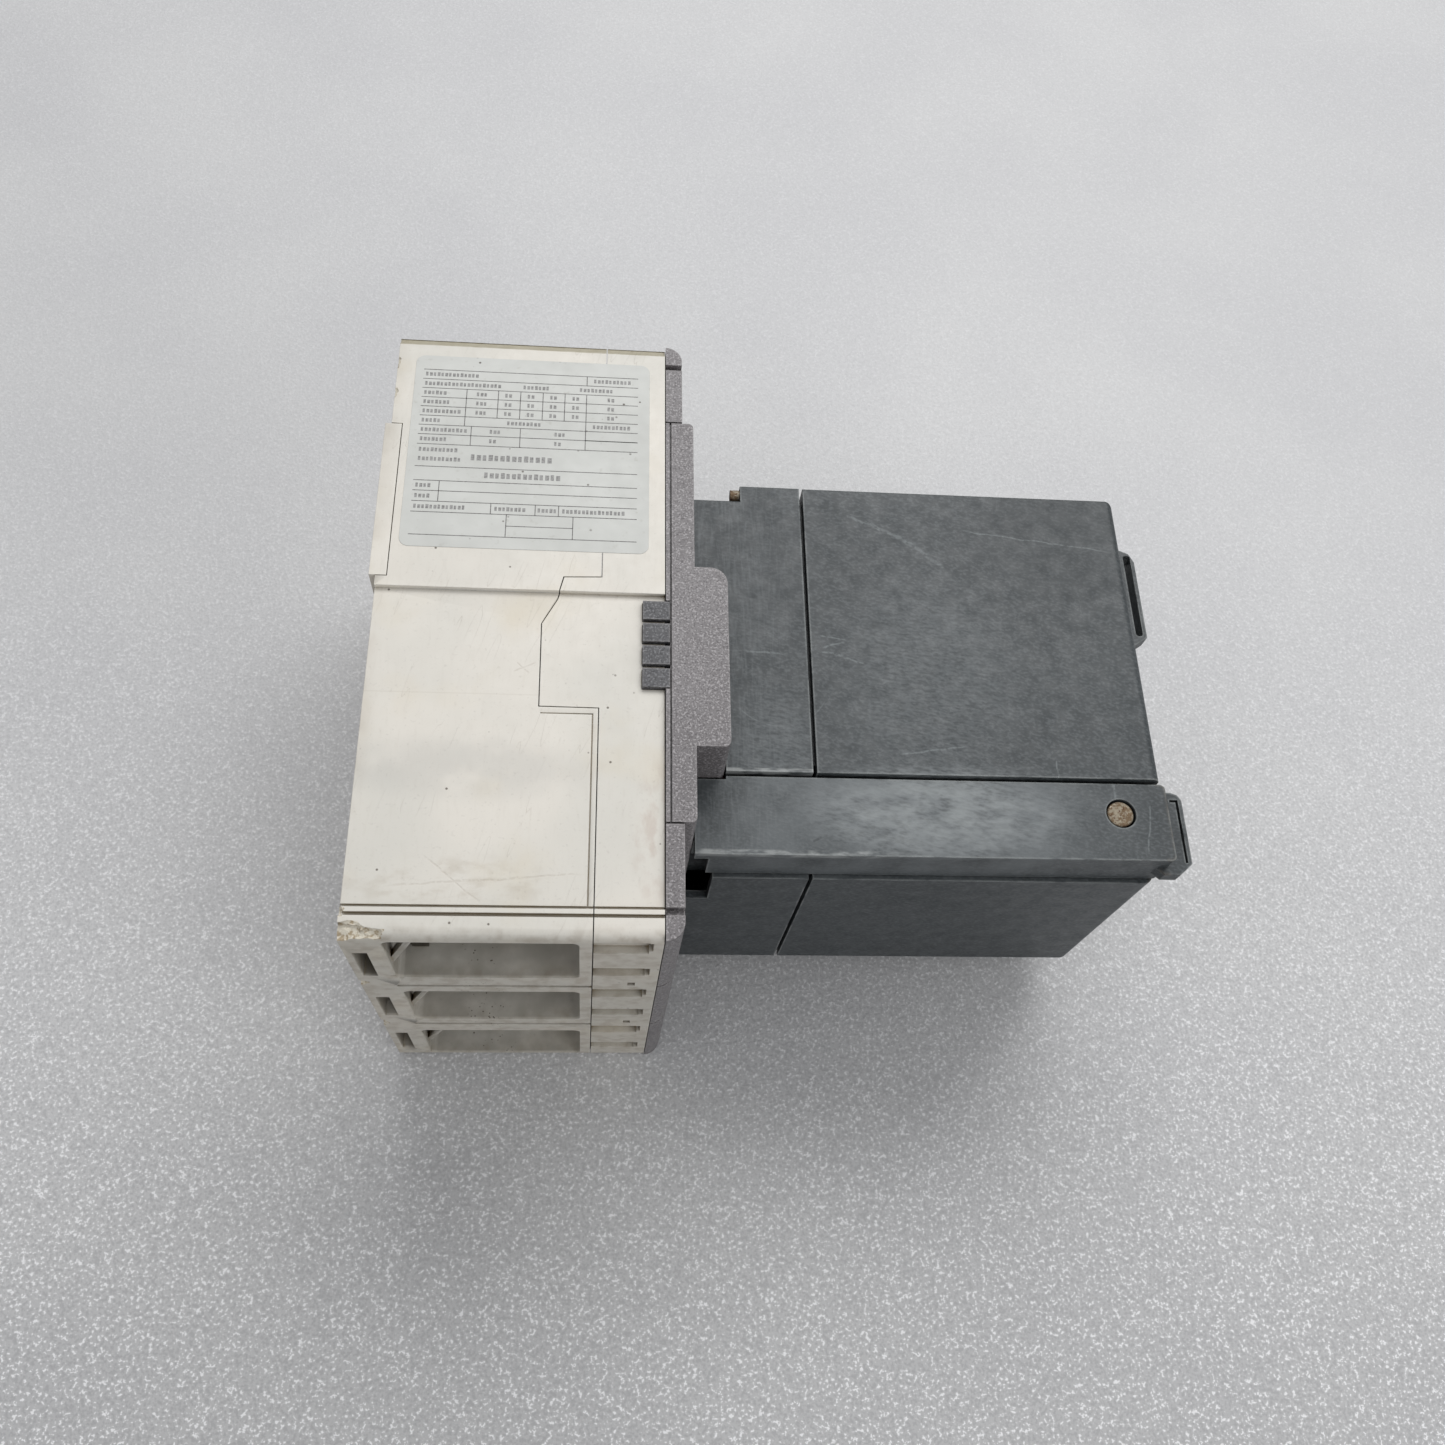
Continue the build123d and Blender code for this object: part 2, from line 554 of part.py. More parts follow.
with BuildPart() as motor_base:
    block((OP_BACK, OP_STEP_X), (OP_Y[0], OP_FLANGE_Y), OP_Z)
    block((OP_STEP_X, BASE_FRONT), OP_Y, OP_Z)
    fillet(motor_base.edges().filter_by(Axis.X), radius=EDGE_R)
    block((BASE_FRONT, LIP_FRONT), INNER_Y, INNER_Z)
    mouth_y = (INNER_Y[0] + LIP, INNER_Y[1] - LIP)
    mouth_z = (INNER_Z[0] + LIP, INNER_Z[1] - LIP)
    block((OP_FLOOR[1], LIP_FRONT), mouth_y, mouth_z, Mode.SUBTRACT)
    block((OP_BACK, OP_FLOOR[0]), (-49.6, 38.5), INNER_Z, Mode.SUBTRACT)
    for place in OP_SCREWS:
        rod_x((OP_BACK, OP_FLOOR[1]), *place, 4.6)
    # corner rebate, closed again inside by two walls and the lip
    rebate_y = (OP_Y[0], REBATE_Y)
    block((OP_BACK, LIP_FRONT), rebate_y, (REBATE_Z, OP_Z[1]), Mode.SUBTRACT)
    lip_corner = (OP_Y[0], REBATE_Y + OP_WALL)
    block((BASE_FRONT, LIP_FRONT), lip_corner, (REBATE_Z - OP_WALL, OP_Z[1]), Mode.SUBTRACT)
    wall_x = (OP_FLOOR[0], BASE_FRONT)
    block(wall_x, (INNER_Y[0], REBATE_Y + OP_WALL), (REBATE_Z - OP_WALL, REBATE_Z))
    block(wall_x, (REBATE_Y, REBATE_Y + OP_WALL), (REBATE_Z, INNER_Z[1]))
    lip_x = (BASE_FRONT - 3, LIP_FRONT)
    lip_z = REBATE_Z - OP_WALL
    lip_y = REBATE_Y + OP_WALL
    block(lip_x, (INNER_Y[0], lip_y + LIP), (lip_z - LIP, lip_z))
    block(lip_x, (lip_y, lip_y + LIP), (lip_z, INNER_Z[1]))
    # the housing straddles the breaker's collar
    collar = (COLLAR_Y[0] - 0.4, COLLAR_Y[1] + 0.4)
    block((OP_BACK, COLLAR_FRONT + 0.4), collar, OP_Z, Mode.SUBTRACT)
    window = (COLLAR_MID - 19, COLLAR_MID + 19)
    block((OP_FLOOR[0] - 3, OP_FLOOR[1]), window, (-9, 9), Mode.SUBTRACT)
    # skirt that reaches back over the thin part of the mask, and the dark opening beside it
    block((69.6, OP_BACK), (OP_Y[0], -49.9), (OP_Z[0], 9))
    block((OP_BACK, 77.2), (OP_Y[0], -49.6), (9, REBATE_Z), Mode.SUBTRACT)
    for place in OP_SCREWS:
        rod_x((OP_BACK, OP_FLOOR[1]), *place, 2.0, Mode.SUBTRACT)
        rod_x((82.4, BASE_FRONT), *place, 4.0, Mode.SUBTRACT)
    for place in FLANGE_SCREWS:
        rod_x((OP_STEP_X, OP_STEP_X + 4), *place, FLANGE_THREAD_R, Mode.SUBTRACT)
    for z in (-ROD_Z, ROD_Z):
        rod_y(ROD_X, RAIL_Y, z, ROD_R, Mode.SUBTRACT)
motor_base.part.label = "motor_base"
export_step(motor_base.part, "parts/motor_base.step")

FRONT_WALL = (COVER_FRONT - OP_WALL, COVER_FRONT)
BUTTON_R = 6.0
KNOB_R = 8.0
KEY_R = 6.5
PLAY = 0.35  # gap around a control in the front wall

with BuildPart() as motor_cover:
    block((COVER_BACK, COVER_FRONT), (OP_Y[0], OP_Y[1] - 0.1), OP_Z)
    fillet(motor_cover.edges().filter_by(Axis.X), radius=EDGE_R)
    fillet(motor_cover.edges().filter_by(Axis.Z).group_by(Axis.X)[-1], radius=2.0)
    block((COVER_BACK, FRONT_WALL[0]), INNER_Y, INNER_Z, Mode.SUBTRACT)
    block((COVER_BACK, COVER_FRONT), (OP_Y[0], REBATE_Y), (REBATE_Z, OP_Z[1]), Mode.SUBTRACT)
    wall_x = (COVER_BACK, FRONT_WALL[0])
    block(wall_x, (INNER_Y[0], REBATE_Y + OP_WALL), (REBATE_Z - OP_WALL, REBATE_Z))
    block(wall_x, (REBATE_Y, REBATE_Y + OP_WALL), (REBATE_Z, INNER_Z[1]))
    rod_x(FRONT_WALL, *ON_AT, BUTTON_R + PLAY, Mode.SUBTRACT)
    rod_x(FRONT_WALL, *OFF_AT, BUTTON_R + PLAY, Mode.SUBTRACT)
    rod_x(FRONT_WALL, *SELECTOR_AT, KNOB_R + PLAY, Mode.SUBTRACT)
    rod_x(FRONT_WALL, *KEY_AT, KEY_R + PLAY, Mode.SUBTRACT)
    y, z = WINDOW_AT
    block(FRONT_WALL, (y - 4, y + 4), (z - 6, z + 6), Mode.SUBTRACT)
    slot_y = (SLIDE_Y[0] - PLAY, SLIDE_Y[1] + PLAY)
    block(FRONT_WALL, slot_y, (SLIDE_Z[0] - PLAY, SLIDE_Z[1] + PLAY), Mode.SUBTRACT)
motor_cover.part.label = "motor_cover"
export_step(motor_cover.part, "parts/motor_cover.step")

BAR_Y = (-50.5, -32.0)
BAR_Z = (24.0, 36.0)
BAR_FRONT = 180.7
EYE_FRONT = 186.4
EYE_Z = (27.8, 31.2)
EYE_GROOVE = 0.6

with BuildPart() as side_bar:
    block((72.4, BAR_FRONT), BAR_Y, BAR_Z)
    fillet(side_bar.edges().filter_by(Axis.Z).group_by(Axis.X)[-1], radius=1.2)
    eye = [
        (174, -50.5),
        (177.6, -50.5),
        (179.4, -52.1),
        (183.2, -52.1),
        (EYE_FRONT, -49.4),
        (EYE_FRONT, -33.8),
        (185.6, -32.5),
        (184.0, -31.9),
        (181.5, -31.9),
        (181.5, -32.6),
        (174, -32.6),
    ]
    prism(eye, EYE_Z)
    groove_x = (EYE_FRONT - 0.9 - EYE_GROOVE, EYE_FRONT - 0.9)
    block(groove_x, (-49.2, -33.7), EYE_Z, Mode.SUBTRACT)
    block((183.5, groove_x[1]), (-33.7 - EYE_GROOVE, -33.7), EYE_Z, Mode.SUBTRACT)
    block((72.4, COLLAR_FRONT + 0.4), (COLLAR_Y[0] - 0.4, BAR_Y[1]), BAR_Z, Mode.SUBTRACT)
    block((72.4, 75.6), (BAR_Y[0], -46), (BAR_Z[0], 33), Mode.SUBTRACT)
    block((78, 160), (BAR_Y[0] + 2.2, BAR_Y[1] - 2.2), (BAR_Z[0], 33), Mode.SUBTRACT)
    rod_z(*RIVET_AT, BAR_Z, 3.5, Mode.SUBTRACT)
side_bar.part.label = "side_bar"
export_step(side_bar.part, "parts/side_bar.step")

with BuildPart() as bar_rivet:
    rod_z(*RIVET_AT, (REBATE_Z, BAR_Z[1] - 0.3), 3.1)
    fillet(bar_rivet.edges().group_by(Axis.Z)[-1], radius=0.4)
bar_rivet.part.label = "bar_rivet"
export_step(bar_rivet.part, "parts/bar_rivet.step")

with BuildPart() as operator_screws:
    for y, z in OP_SCREWS:
        rod_x((53, 82.4), y, z, 2.0)
        rod_x((82.4, 84.8), y, z, 3.5)
        block((83.8, 84.8), (y - 2.6, y + 2.6), (z - 0.5, z + 0.5), Mode.SUBTRACT)
    for y, z in FLANGE_SCREWS:
        rod_x((OP_STEP_X - 2.4, OP_STEP_X), y, z, 1.5)
        rod_x((OP_STEP_X, OP_STEP_X + 4), y, z, FLANGE_THREAD_R)
operator_screws.part.label = "operator_screws"
export_step(operator_screws.part, "parts/operator_screws.step")

# ---- motor operator: drive -------------------------------------------------------------------
RACK_MODULE = 1.5
RACK_TEETH = 9
RACK_ROOT = 98.8
RACK_PITCH = 100.0
RACK_TIP = 101.3

with BuildPart() as drive_carriage:
    block((86, 97), (FORK_Y - 11, FORK_Y + 11), (-18.4, 18.4))
    block((86, 91.8), (FORK_Y - 5.2, FORK_Y + 5.2), (-7.6, 7.6), Mode.SUBTRACT)
    block((95.5, RACK_ROOT), (-38, 5), RACK_BAND)
    for tooth in range(RACK_TEETH):
        y = (0.5 - tooth) * pi * RACK_MODULE
        flank = [
            (RACK_ROOT, y - 1.6),
            (RACK_PITCH, y - 1.0),
            (RACK_TIP, y - 0.52),
            (RACK_TIP, y + 0.52),
            (RACK_PITCH, y + 1.0),
            (RACK_ROOT, y + 1.6),
        ]
        prism(flank, RACK_BAND)
    for z in (-ROD_Z, ROD_Z):
        rod_y(ROD_X, (-60, 10), z, ROD_R + RUNNING, Mode.SUBTRACT)
drive_carriage.part.label = "drive_carriage"
export_step(drive_carriage.part, "parts/drive_carriage.step")

with BuildPart() as guide_rods:
    for z in (-ROD_Z, ROD_Z):
        rod_y(ROD_X, RAIL_Y, z, ROD_R)
guide_rods.part.label = "guide_rods"
export_step(guide_rods.part, "parts/guide_rods.step")

with BuildPart() as output_gear:
    rod_z(*GEAR_AT, (-28.0, 31.8), SHAFT_R)
    gear_teeth(GEAR_AT, 12, 9.0, RACK_BAND)
    gear_teeth(GEAR_AT, 40, 20.0, GEAR_BAND)
output_gear.part.label = "output_gear"
export_step(output_gear.part, "parts/output_gear.step")

with BuildPart() as motor_pinion:
    rod_z(*MOTOR_AT, (20, 31.8), 2.0)
    gear_teeth(MOTOR_AT, 10, 5.0, GEAR_BAND, phase=18)
motor_pinion.part.label = "motor_pinion"
export_step(motor_pinion.part, "parts/motor_pinion.step")

with BuildPart() as gear_motor:
    rod_z(*MOTOR_AT, (-24, PLATE_BAND[0]), 14.0)
    fillet(gear_motor.edges().group_by(Axis.Z)[0], radius=2.0)
    rod_z(*MOTOR_AT, (-PLATE_BAND[0], -24), 8.0)
    rod_z(*MOTOR_AT, (19.8, PLATE_BAND[0]), 2.0 + RUNNING, Mode.SUBTRACT)
gear_motor.part.label = "gear_motor"
export_step(gear_motor.part, "parts/gear_motor.step")

with BuildPart() as gear_plates:
    for band in both_sides(PLATE_BAND):
        block((104, 153), (-22, 22), band)
        rod_z(*GEAR_AT, band, SHAFT_R + RUNNING, Mode.SUBTRACT)
    rod_z(*MOTOR_AT, PLATE_BAND, 3.0, Mode.SUBTRACT)
gear_plates.part.label = "gear_plates"
export_step(gear_plates.part, "parts/gear_plates.step")

with BuildPart() as plate_spacers:
    with Locations(*[(x, y, 0) for x in (107.0, 149.5) for y in (-18.5, 18.5)]):
        Cylinder(2.5, 2 * PLATE_BAND[0])
plate_spacers.part.label = "plate_spacers"
export_step(plate_spacers.part, "parts/plate_spacers.step")

# ---- motor operator: electrical parts --------------------------------------------------------
BOARD_Y = (36.0, 37.6)

with BuildPart() as circuit_board:
    block((106, 158), BOARD_Y, (-25, 25))
circuit_board.part.label = "circuit_board"
export_step(circuit_board.part, "parts/circuit_board.step")

with BuildPart() as board_parts:
    block((110, 128), (26, BOARD_Y[0]), (-22, -8))
    block((110, 124), (28, BOARD_Y[0]), (-4, 8))
    for z in (14, 20):
        rod_y(114, (26, BOARD_Y[0]), z, 2.6)
    for x in (132, 142):
        rod_y(x, (24, BOARD_Y[0]), -15, 4.5)
board_parts.part.label = "board_parts"
export_step(board_parts.part, "parts/board_parts.step")

with BuildPart() as terminal_block:
    block((136, 156), (25, BOARD_Y[0]), (2, 22))
    for way in range(5):
        rod_y(153, (25, 33), 4 + 4 * way, 1.2, Mode.SUBTRACT)
        block((147, 156), (28, 31), (2.9 + 4 * way, 5.1 + 4 * way), Mode.SUBTRACT)
terminal_block.part.label = "terminal_block"
export_step(terminal_block.part, "parts/terminal_block.step")

with BuildPart() as limit_switches:
    for y in ((INNER_Y[0] + LIP, -38.6), (17.2, 26)):
        block((OP_FLOOR[1], 95), y, (-10, 4))
        block((95, 96.2), (y[0] + 2, y[1] - 2), (-5, -1))
limit_switches.part.label = "limit_switches"
export_step(limit_switches.part, "parts/limit_switches.step")

# ---- motor operator: front controls ----------------------------------------------------------
BUTTON_X = (173.0, 182.0)
STEM_BACK = 164.0


def button(place):
    """A round push-button with a dished face and a stem."""
    rod_x(BUTTON_X, *place, BUTTON_R)
    rod_x((BUTTON_X[1] - 0.5, BUTTON_X[1]), *place, BUTTON_R - 1.2, Mode.SUBTRACT)
    rod_x((STEM_BACK, BUTTON_X[0]), *place, 2.0)


def button_spring(place):
    """A return spring around a button's stem."""
    for coil in range(4):
        start = 166.2 + 1.7 * coil
        rod_x((start, start + 1.7), *place, 4.4 if coil % 2 == 0 else 3.6)
    rod_x((STEM_BACK, BUTTON_X[0]), *place, 2.0, Mode.SUBTRACT)


with BuildPart() as on_button:
    button(ON_AT)
on_button.part.label = "on_button"
export_step(on_button.part, "parts/on_button.step")

with BuildPart() as off_button:
    button(OFF_AT)
off_button.part.label = "off_button"
export_step(off_button.part, "parts/off_button.step")

with BuildPart() as on_spring:
    button_spring(ON_AT)
on_spring.part.label = "on_spring"
export_step(on_spring.part, "parts/on_spring.step")

with BuildPart() as off_spring:
    button_spring(OFF_AT)
off_spring.part.label = "off_spring"
export_step(off_spring.part, "parts/off_spring.step")

with BuildPart() as mode_selector:
    rod_x((168, 180.5), *SELECTOR_AT, KNOB_R)
    y, z = SELECTOR_AT
    block((180.5, 184.0), (y - 7, y + 7), (z - 1.6, z + 1.6))
    block((183.4, 184.0), (y + 3, y + 6), (z - 0.5, z + 0.5), Mode.SUBTRACT)
mode_selector.part.label = "mode_selector"
export_step(mode_selector.part, "parts/mode_selector.step")

with BuildPart() as key_barrel:
    rod_x((160, 181.0), *KEY_AT, KEY_R)
    y, z = KEY_AT
    block((172, 181), (y - 4, y + 4), (z - 0.6, z + 0.6), Mode.SUBTRACT)
key_barrel.part.label = "key_barrel"
export_step(key_barrel.part, "parts/key_barrel.step")

FLAG_AT = (169.0, WINDOW_AT[0])

with BuildPart() as position_flag:
    flag_z = (WINDOW_AT[1] - 5, WINDOW_AT[1] + 5)
    rod_z(*FLAG_AT, flag_z, 7.0)
    block((FLAG_AT[0] - 7, FLAG_AT[0] - 3), (14, 30), flag_z, Mode.SUBTRACT)
    rod_z(*FLAG_AT, (flag_z[0] - 3, flag_z[1] + 3), 1.5)
position_flag.part.label = "position_flag"
export_step(position_flag.part, "parts/position_flag.step")

with BuildPart() as flag_bracket:
    for band in ((flag_z[0] - 2.2, flag_z[0] - 1.0), (flag_z[1] + 1.0, flag_z[1] + 2.2)):
        block((165, FRONT_WALL[0]), (WINDOW_AT[0] - 3, WINDOW_AT[0] + 3), band)
        rod_z(*FLAG_AT, band, 1.5 + RUNNING, Mode.SUBTRACT)
flag_bracket.part.label = "flag_bracket"
export_step(flag_bracket.part, "parts/flag_bracket.step")

with BuildPart() as indicator_window:
    y, z = WINDOW_AT
    block((177.6, COVER_FRONT - 0.3), (y - 4, y + 4), (z - 6, z + 6))
indicator_window.part.label = "indicator_window"
export_step(indicator_window.part, "parts/indicator_window.step")

SLIDE_BACK = 168.0
SLIDE_FRONT = 187.0

with BuildPart() as lock_slide:
    plate = [
        (SLIDE_BACK, SLIDE_Y[0]),
        (182.6, SLIDE_Y[0]),
        (SLIDE_FRONT, SLIDE_Y[0] + 3.0),
        (SLIDE_FRONT, SLIDE_Y[1] - 3.4),
        (185.8, SLIDE_Y[1] - 1.0),
        (183.6, SLIDE_Y[1]),
        (SLIDE_BACK, SLIDE_Y[1]),
    ]
    prism(plate, SLIDE_Z)
    with BuildSketch(Plane.XY.offset(SLIDE_Z[0])):
        with Locations((185.15, 23.9)):
            RectangleRounded(1.8, 23.6, 0.7)
    extrude(amount=SLIDE_Z[1] - SLIDE_Z[0], mode=Mode.SUBTRACT)
lock_slide.part.label = "lock_slide"
export_step(lock_slide.part, "parts/lock_slide.step")
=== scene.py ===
import json
import math

import bmesh
import bpy
from mathutils import Matrix, Vector, noise


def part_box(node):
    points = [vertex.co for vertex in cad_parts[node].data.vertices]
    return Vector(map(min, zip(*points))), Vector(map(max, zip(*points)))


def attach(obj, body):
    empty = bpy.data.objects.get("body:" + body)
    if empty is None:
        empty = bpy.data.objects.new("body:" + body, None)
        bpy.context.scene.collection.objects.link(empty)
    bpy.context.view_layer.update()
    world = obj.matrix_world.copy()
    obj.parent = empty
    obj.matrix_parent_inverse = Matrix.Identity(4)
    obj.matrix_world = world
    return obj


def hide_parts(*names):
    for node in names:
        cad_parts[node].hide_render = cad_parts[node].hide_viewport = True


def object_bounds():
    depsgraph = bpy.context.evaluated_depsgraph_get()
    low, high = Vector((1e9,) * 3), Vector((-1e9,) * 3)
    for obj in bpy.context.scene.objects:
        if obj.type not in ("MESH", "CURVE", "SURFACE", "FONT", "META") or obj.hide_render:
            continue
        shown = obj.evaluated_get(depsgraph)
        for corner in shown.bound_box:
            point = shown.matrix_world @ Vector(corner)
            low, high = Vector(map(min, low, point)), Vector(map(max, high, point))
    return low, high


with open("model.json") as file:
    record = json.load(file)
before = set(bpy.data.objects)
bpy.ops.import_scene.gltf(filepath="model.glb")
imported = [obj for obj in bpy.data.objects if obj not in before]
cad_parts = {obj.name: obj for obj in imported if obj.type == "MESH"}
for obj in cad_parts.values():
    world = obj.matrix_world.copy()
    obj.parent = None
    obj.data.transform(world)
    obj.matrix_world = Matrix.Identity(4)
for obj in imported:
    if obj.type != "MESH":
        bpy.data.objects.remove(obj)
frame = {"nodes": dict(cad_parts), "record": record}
cad_box = [list(corner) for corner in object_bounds()]
NODES = frame["nodes"]
MM = 0.001
RUB_LOW, RUB_FULL = 35.0, 35.8  # scratches and rub marks lie on faces above this Z


# ---- small helpers ---------------------------------------------------------------------------
def srgb(red, green, blue):
    """Linear colour from display values of 0 to 255."""

    def linear(value):
        value /= 255
        return value / 12.92 if value <= 0.04045 else ((value + 0.055) / 1.055) ** 2.4

    return (linear(red), linear(green), linear(blue), 1.0)


def span(node):
    """Lowest and highest corner of a CAD node in millimetres."""
    low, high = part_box(node)
    return Vector(low) / MM, Vector(high) / MM


class Finish:
    """One procedural material, built up layer by layer in the part's own coordinates."""

    def __init__(self, name, rounding=0.25):
        self.material = bpy.data.materials.new(name)
        self.material.use_nodes = True
        self.nodes = self.material.node_tree.nodes
        self.nodes.clear()
        output = self.nodes.new("ShaderNodeOutputMaterial")
        self.bsdf = self.nodes.new("ShaderNodeBsdfPrincipled")
        self.link(self.bsdf.outputs[0], output.inputs["Surface"])
        self.place = self.nodes.new("ShaderNodeTexCoord").outputs["Object"]
        self.normal = None
        if rounding:
            bevel = self.nodes.new("ShaderNodeBevel")
            bevel.samples = 4
            bevel.inputs["Radius"].default_value = rounding * MM
            self.normal = bevel.outputs[0]

    def link(self, output, socket):
        self.material.node_tree.links.new(output, socket)

    def put(self, value, socket):
        """Links a node output, or sets a constant."""
        if isinstance(value, bpy.types.NodeSocket):
            self.link(value, socket)
        else:
            socket.default_value = value

    def math(self, operation, first, second=0.0):
        node = self.nodes.new("ShaderNodeMath")
        node.operation = operation
        self.put(first, node.inputs[0])
        self.put(second, node.inputs[1])
        return node.outputs[0]

    def times(self, *values):
        """The product of node outputs and constants."""
        product = values[0]
        for value in values[1:]:
            product = self.math("MULTIPLY", product, value)
        return product

    def most(self, *values):
        """The largest of several node outputs."""
        top = values[0]
        for value in values[1:]:
            top = self.math("MAXIMUM", top, value)
        return top

    def band(self, value, low, high):
        """0 at low and 1 at high, smooth between."""
        node = self.nodes.new("ShaderNodeMapRange")
        node.interpolation_type = "SMOOTHSTEP"
        self.put(value, node.inputs["Value"])
        node.inputs["From Min"].default_value = low
        node.inputs["From Max"].default_value = high
        return node.outputs["Result"]

    def within(self, value, low, high, soft):
        """1 between low and high, fading over soft."""
        return self.times(
            self.band(value, low - soft, low), self.band(value, high + soft, high)
        )

    def warped(self, stretch, turn, seed):
        """The part's coordinates, shifted by seed, turned in degrees and stretched."""
        mapping = self.nodes.new("ShaderNodeMapping")
        mapping.vector_type = "TEXTURE"
        mapping.inputs["Location"].default_value = (seed, 0.7 * seed, 1.3 * seed)
        mapping.inputs["Rotation"].default_value = [math.radians(a) for a in turn]
        mapping.inputs["Scale"].default_value = stretch
        self.link(self.place, mapping.inputs["Vector"])
        return mapping.outputs[0]

    def noise(self, size, detail=2.0, stretch=(1, 1, 1), turn=(0, 0, 0), seed=0.0):
        """Noise whose features are about size millimetres."""
        node = self.nodes.new("ShaderNodeTexNoise")
        node.inputs["Scale"].default_value = 1 / (size * MM)
        node.inputs["Detail"].default_value = detail
        self.link(self.warped(stretch, turn, seed), node.inputs["Vector"])
        return node.outputs["Fac"]

    def flecks(self, size, radius, seed):
        """Scattered round flecks on a grid of about size millimetres."""
        node = self.nodes.new("ShaderNodeTexVoronoi")
        node.inputs["Scale"].default_value = 1 / (size * MM)
        self.link(self.warped((1, 1, 1), (20, 30, 10), seed), node.inputs["Vector"])
        return self.band(node.outputs["Distance"], radius, radius * 0.5)

    def hairlines(self, size, stretch, turn, width, seed):
        """Thin scratches: the level lines of a stretched noise, kept in patches."""
        ridge = self.math("SUBTRACT", self.noise(size, 1.0, stretch, turn, seed), 0.5)
        line = self.band(self.math("ABSOLUTE", ridge), width, 0.0)
        patch = self.band(self.noise(size * 2.2, 1.0, seed=seed + 5), 0.52, 0.6)
        return self.times(line, patch)

    def stroke(self, start, end, width, seed):
        """One scratch in X and Y between two points, a little wavy and broken."""
        x, y, z = self.axes()
        run = Vector(end) - Vector(start)
        ux, uy = run.normalized()
        wander = self.math("SUBTRACT", self.noise(4, 1, seed=seed), 0.5)
        sway = self.math("MULTIPLY", wander, 3 * width)
        dx, dy = self.math("SUBTRACT", x, start[0]), self.math("SUBTRACT", y, start[1])
        along = self.math("ADD", self.times(dx, ux), self.times(dy, uy))
        across = self.math("SUBTRACT", self.times(dy, ux), self.times(dx, uy))
        across = self.math("ABSOLUTE", self.math("ADD", across, sway))
        line = self.times(self.band(across, width, 0.2 * width), self.band(z, RUB_LOW, RUB_FULL))
        worn = self.band(self.noise(0.9, 2, seed=seed + 3), 0.3, 0.55)
        return self.times(line, self.within(along, 0.0, run.length, 0.2 * run.length), worn)

    def ring(self, centre, radius, width, seed):
        """A worn circular rub mark in X and Y."""
        x, y, z = self.axes()
        dx, dy = self.math("SUBTRACT", x, centre[0]), self.math("SUBTRACT", y, centre[1])
        reach = self.math("SQRT", self.math("ADD", self.times(dx, dx), self.times(dy, dy)))
        line = self.band(self.math("ABSOLUTE", self.math("SUBTRACT", reach, radius)), width, 0.0)
        worn = self.band(self.noise(radius, 2, seed=seed), 0.4, 0.55)
        return self.times(line, worn, self.band(z, RUB_LOW, RUB_FULL))

    def patch(self, centre, reach):
        """A soft oval area in X and Y: 1 in its middle, 0 at its reach along each axis."""
        x, y, _ = self.axes()
        dx = self.math("DIVIDE", self.math("SUBTRACT", x, centre[0]), reach[0])
        dy = self.math("DIVIDE", self.math("SUBTRACT", y, centre[1]), reach[1])
        return self.band(self.math("ADD", self.times(dx, dx), self.times(dy, dy)), 1.0, 0.05)

    def crevice(self, reach, samples=4):
        """1 deep in seams and in inside corners, 0 in the open."""
        node = self.nodes.new("ShaderNodeAmbientOcclusion")
        node.samples = samples
        node.inputs["Distance"].default_value = reach * MM
        return self.math("SUBTRACT", 1.0, node.outputs["AO"])

    def corner(self, reach):
        """1 along outside edges, 0 elsewhere."""
        node = self.nodes.new("ShaderNodeAmbientOcclusion")
        node.samples = 4
        node.inside = True
        node.only_local = True
        node.inputs["Distance"].default_value = reach * MM
        return self.math("SUBTRACT", 1.0, node.outputs["AO"])

    def axes(self):
        """X, Y and Z in millimetres."""
        scale = self.nodes.new("ShaderNodeVectorMath")
        scale.operation = "SCALE"
        scale.inputs["Scale"].default_value = 1 / MM
        self.link(self.place, scale.inputs[0])
        parts = self.nodes.new("ShaderNodeSeparateXYZ")
        self.link(scale.outputs[0], parts.inputs[0])
        return parts.outputs["X"], parts.outputs["Y"], parts.outputs["Z"]

    def mix(self, factor, first, second):
        """A colour between first (factor 0) and second (factor 1)."""
        node = self.nodes.new("ShaderNodeMix")
        node.data_type = "RGBA"
        factor_in, colour_in_a, colour_in_b, colour_out = 0, 6, 7, 2
        self.put(factor, node.inputs[factor_in])
        self.put(first, node.inputs[colour_in_a])
        self.put(second, node.inputs[colour_in_b])
        return node.outputs[colour_out]

    def bump(self, height, depth, strength=1.0):
        """Adds relief of depth millimetres over what is there."""
        node = self.nodes.new("ShaderNodeBump")
        node.inputs["Strength"].default_value = strength
        node.inputs["Distance"].default_value = depth * MM
        self.put(height, node.inputs["Height"])
        if self.normal is not None:
            self.link(self.normal, node.inputs["Normal"])
        self.normal = node.outputs[0]

    def done(self, colour, roughness, metallic=0.0, specular=0.5):
        """Connects the finished layers and gives back the material."""
        self.put(colour, self.bsdf.inputs["Base Color"])
        self.put(roughness, self.bsdf.inputs["Roughness"])
        self.bsdf.inputs["Metallic"].default_value = metallic
        self.bsdf.inputs["Specular IOR Level"].default_value = specular
        if self.normal is not None:
            self.link(self.normal, self.bsdf.inputs["Normal"])
        return self.material

    def rough(self, low, high, size=3.0):
        """Roughness that wanders between two values."""
        node = self.nodes.new("ShaderNodeMapRange")
        self.link(self.noise(size, 3.0, seed=3.1), node.inputs["Value"])
        node.inputs["From Min"].default_value = 0.3
        node.inputs["From Max"].default_value = 0.7
        node.inputs["To Min"].default_value = low
        node.inputs["To Max"].default_value = high
        return node.outputs["Result"]


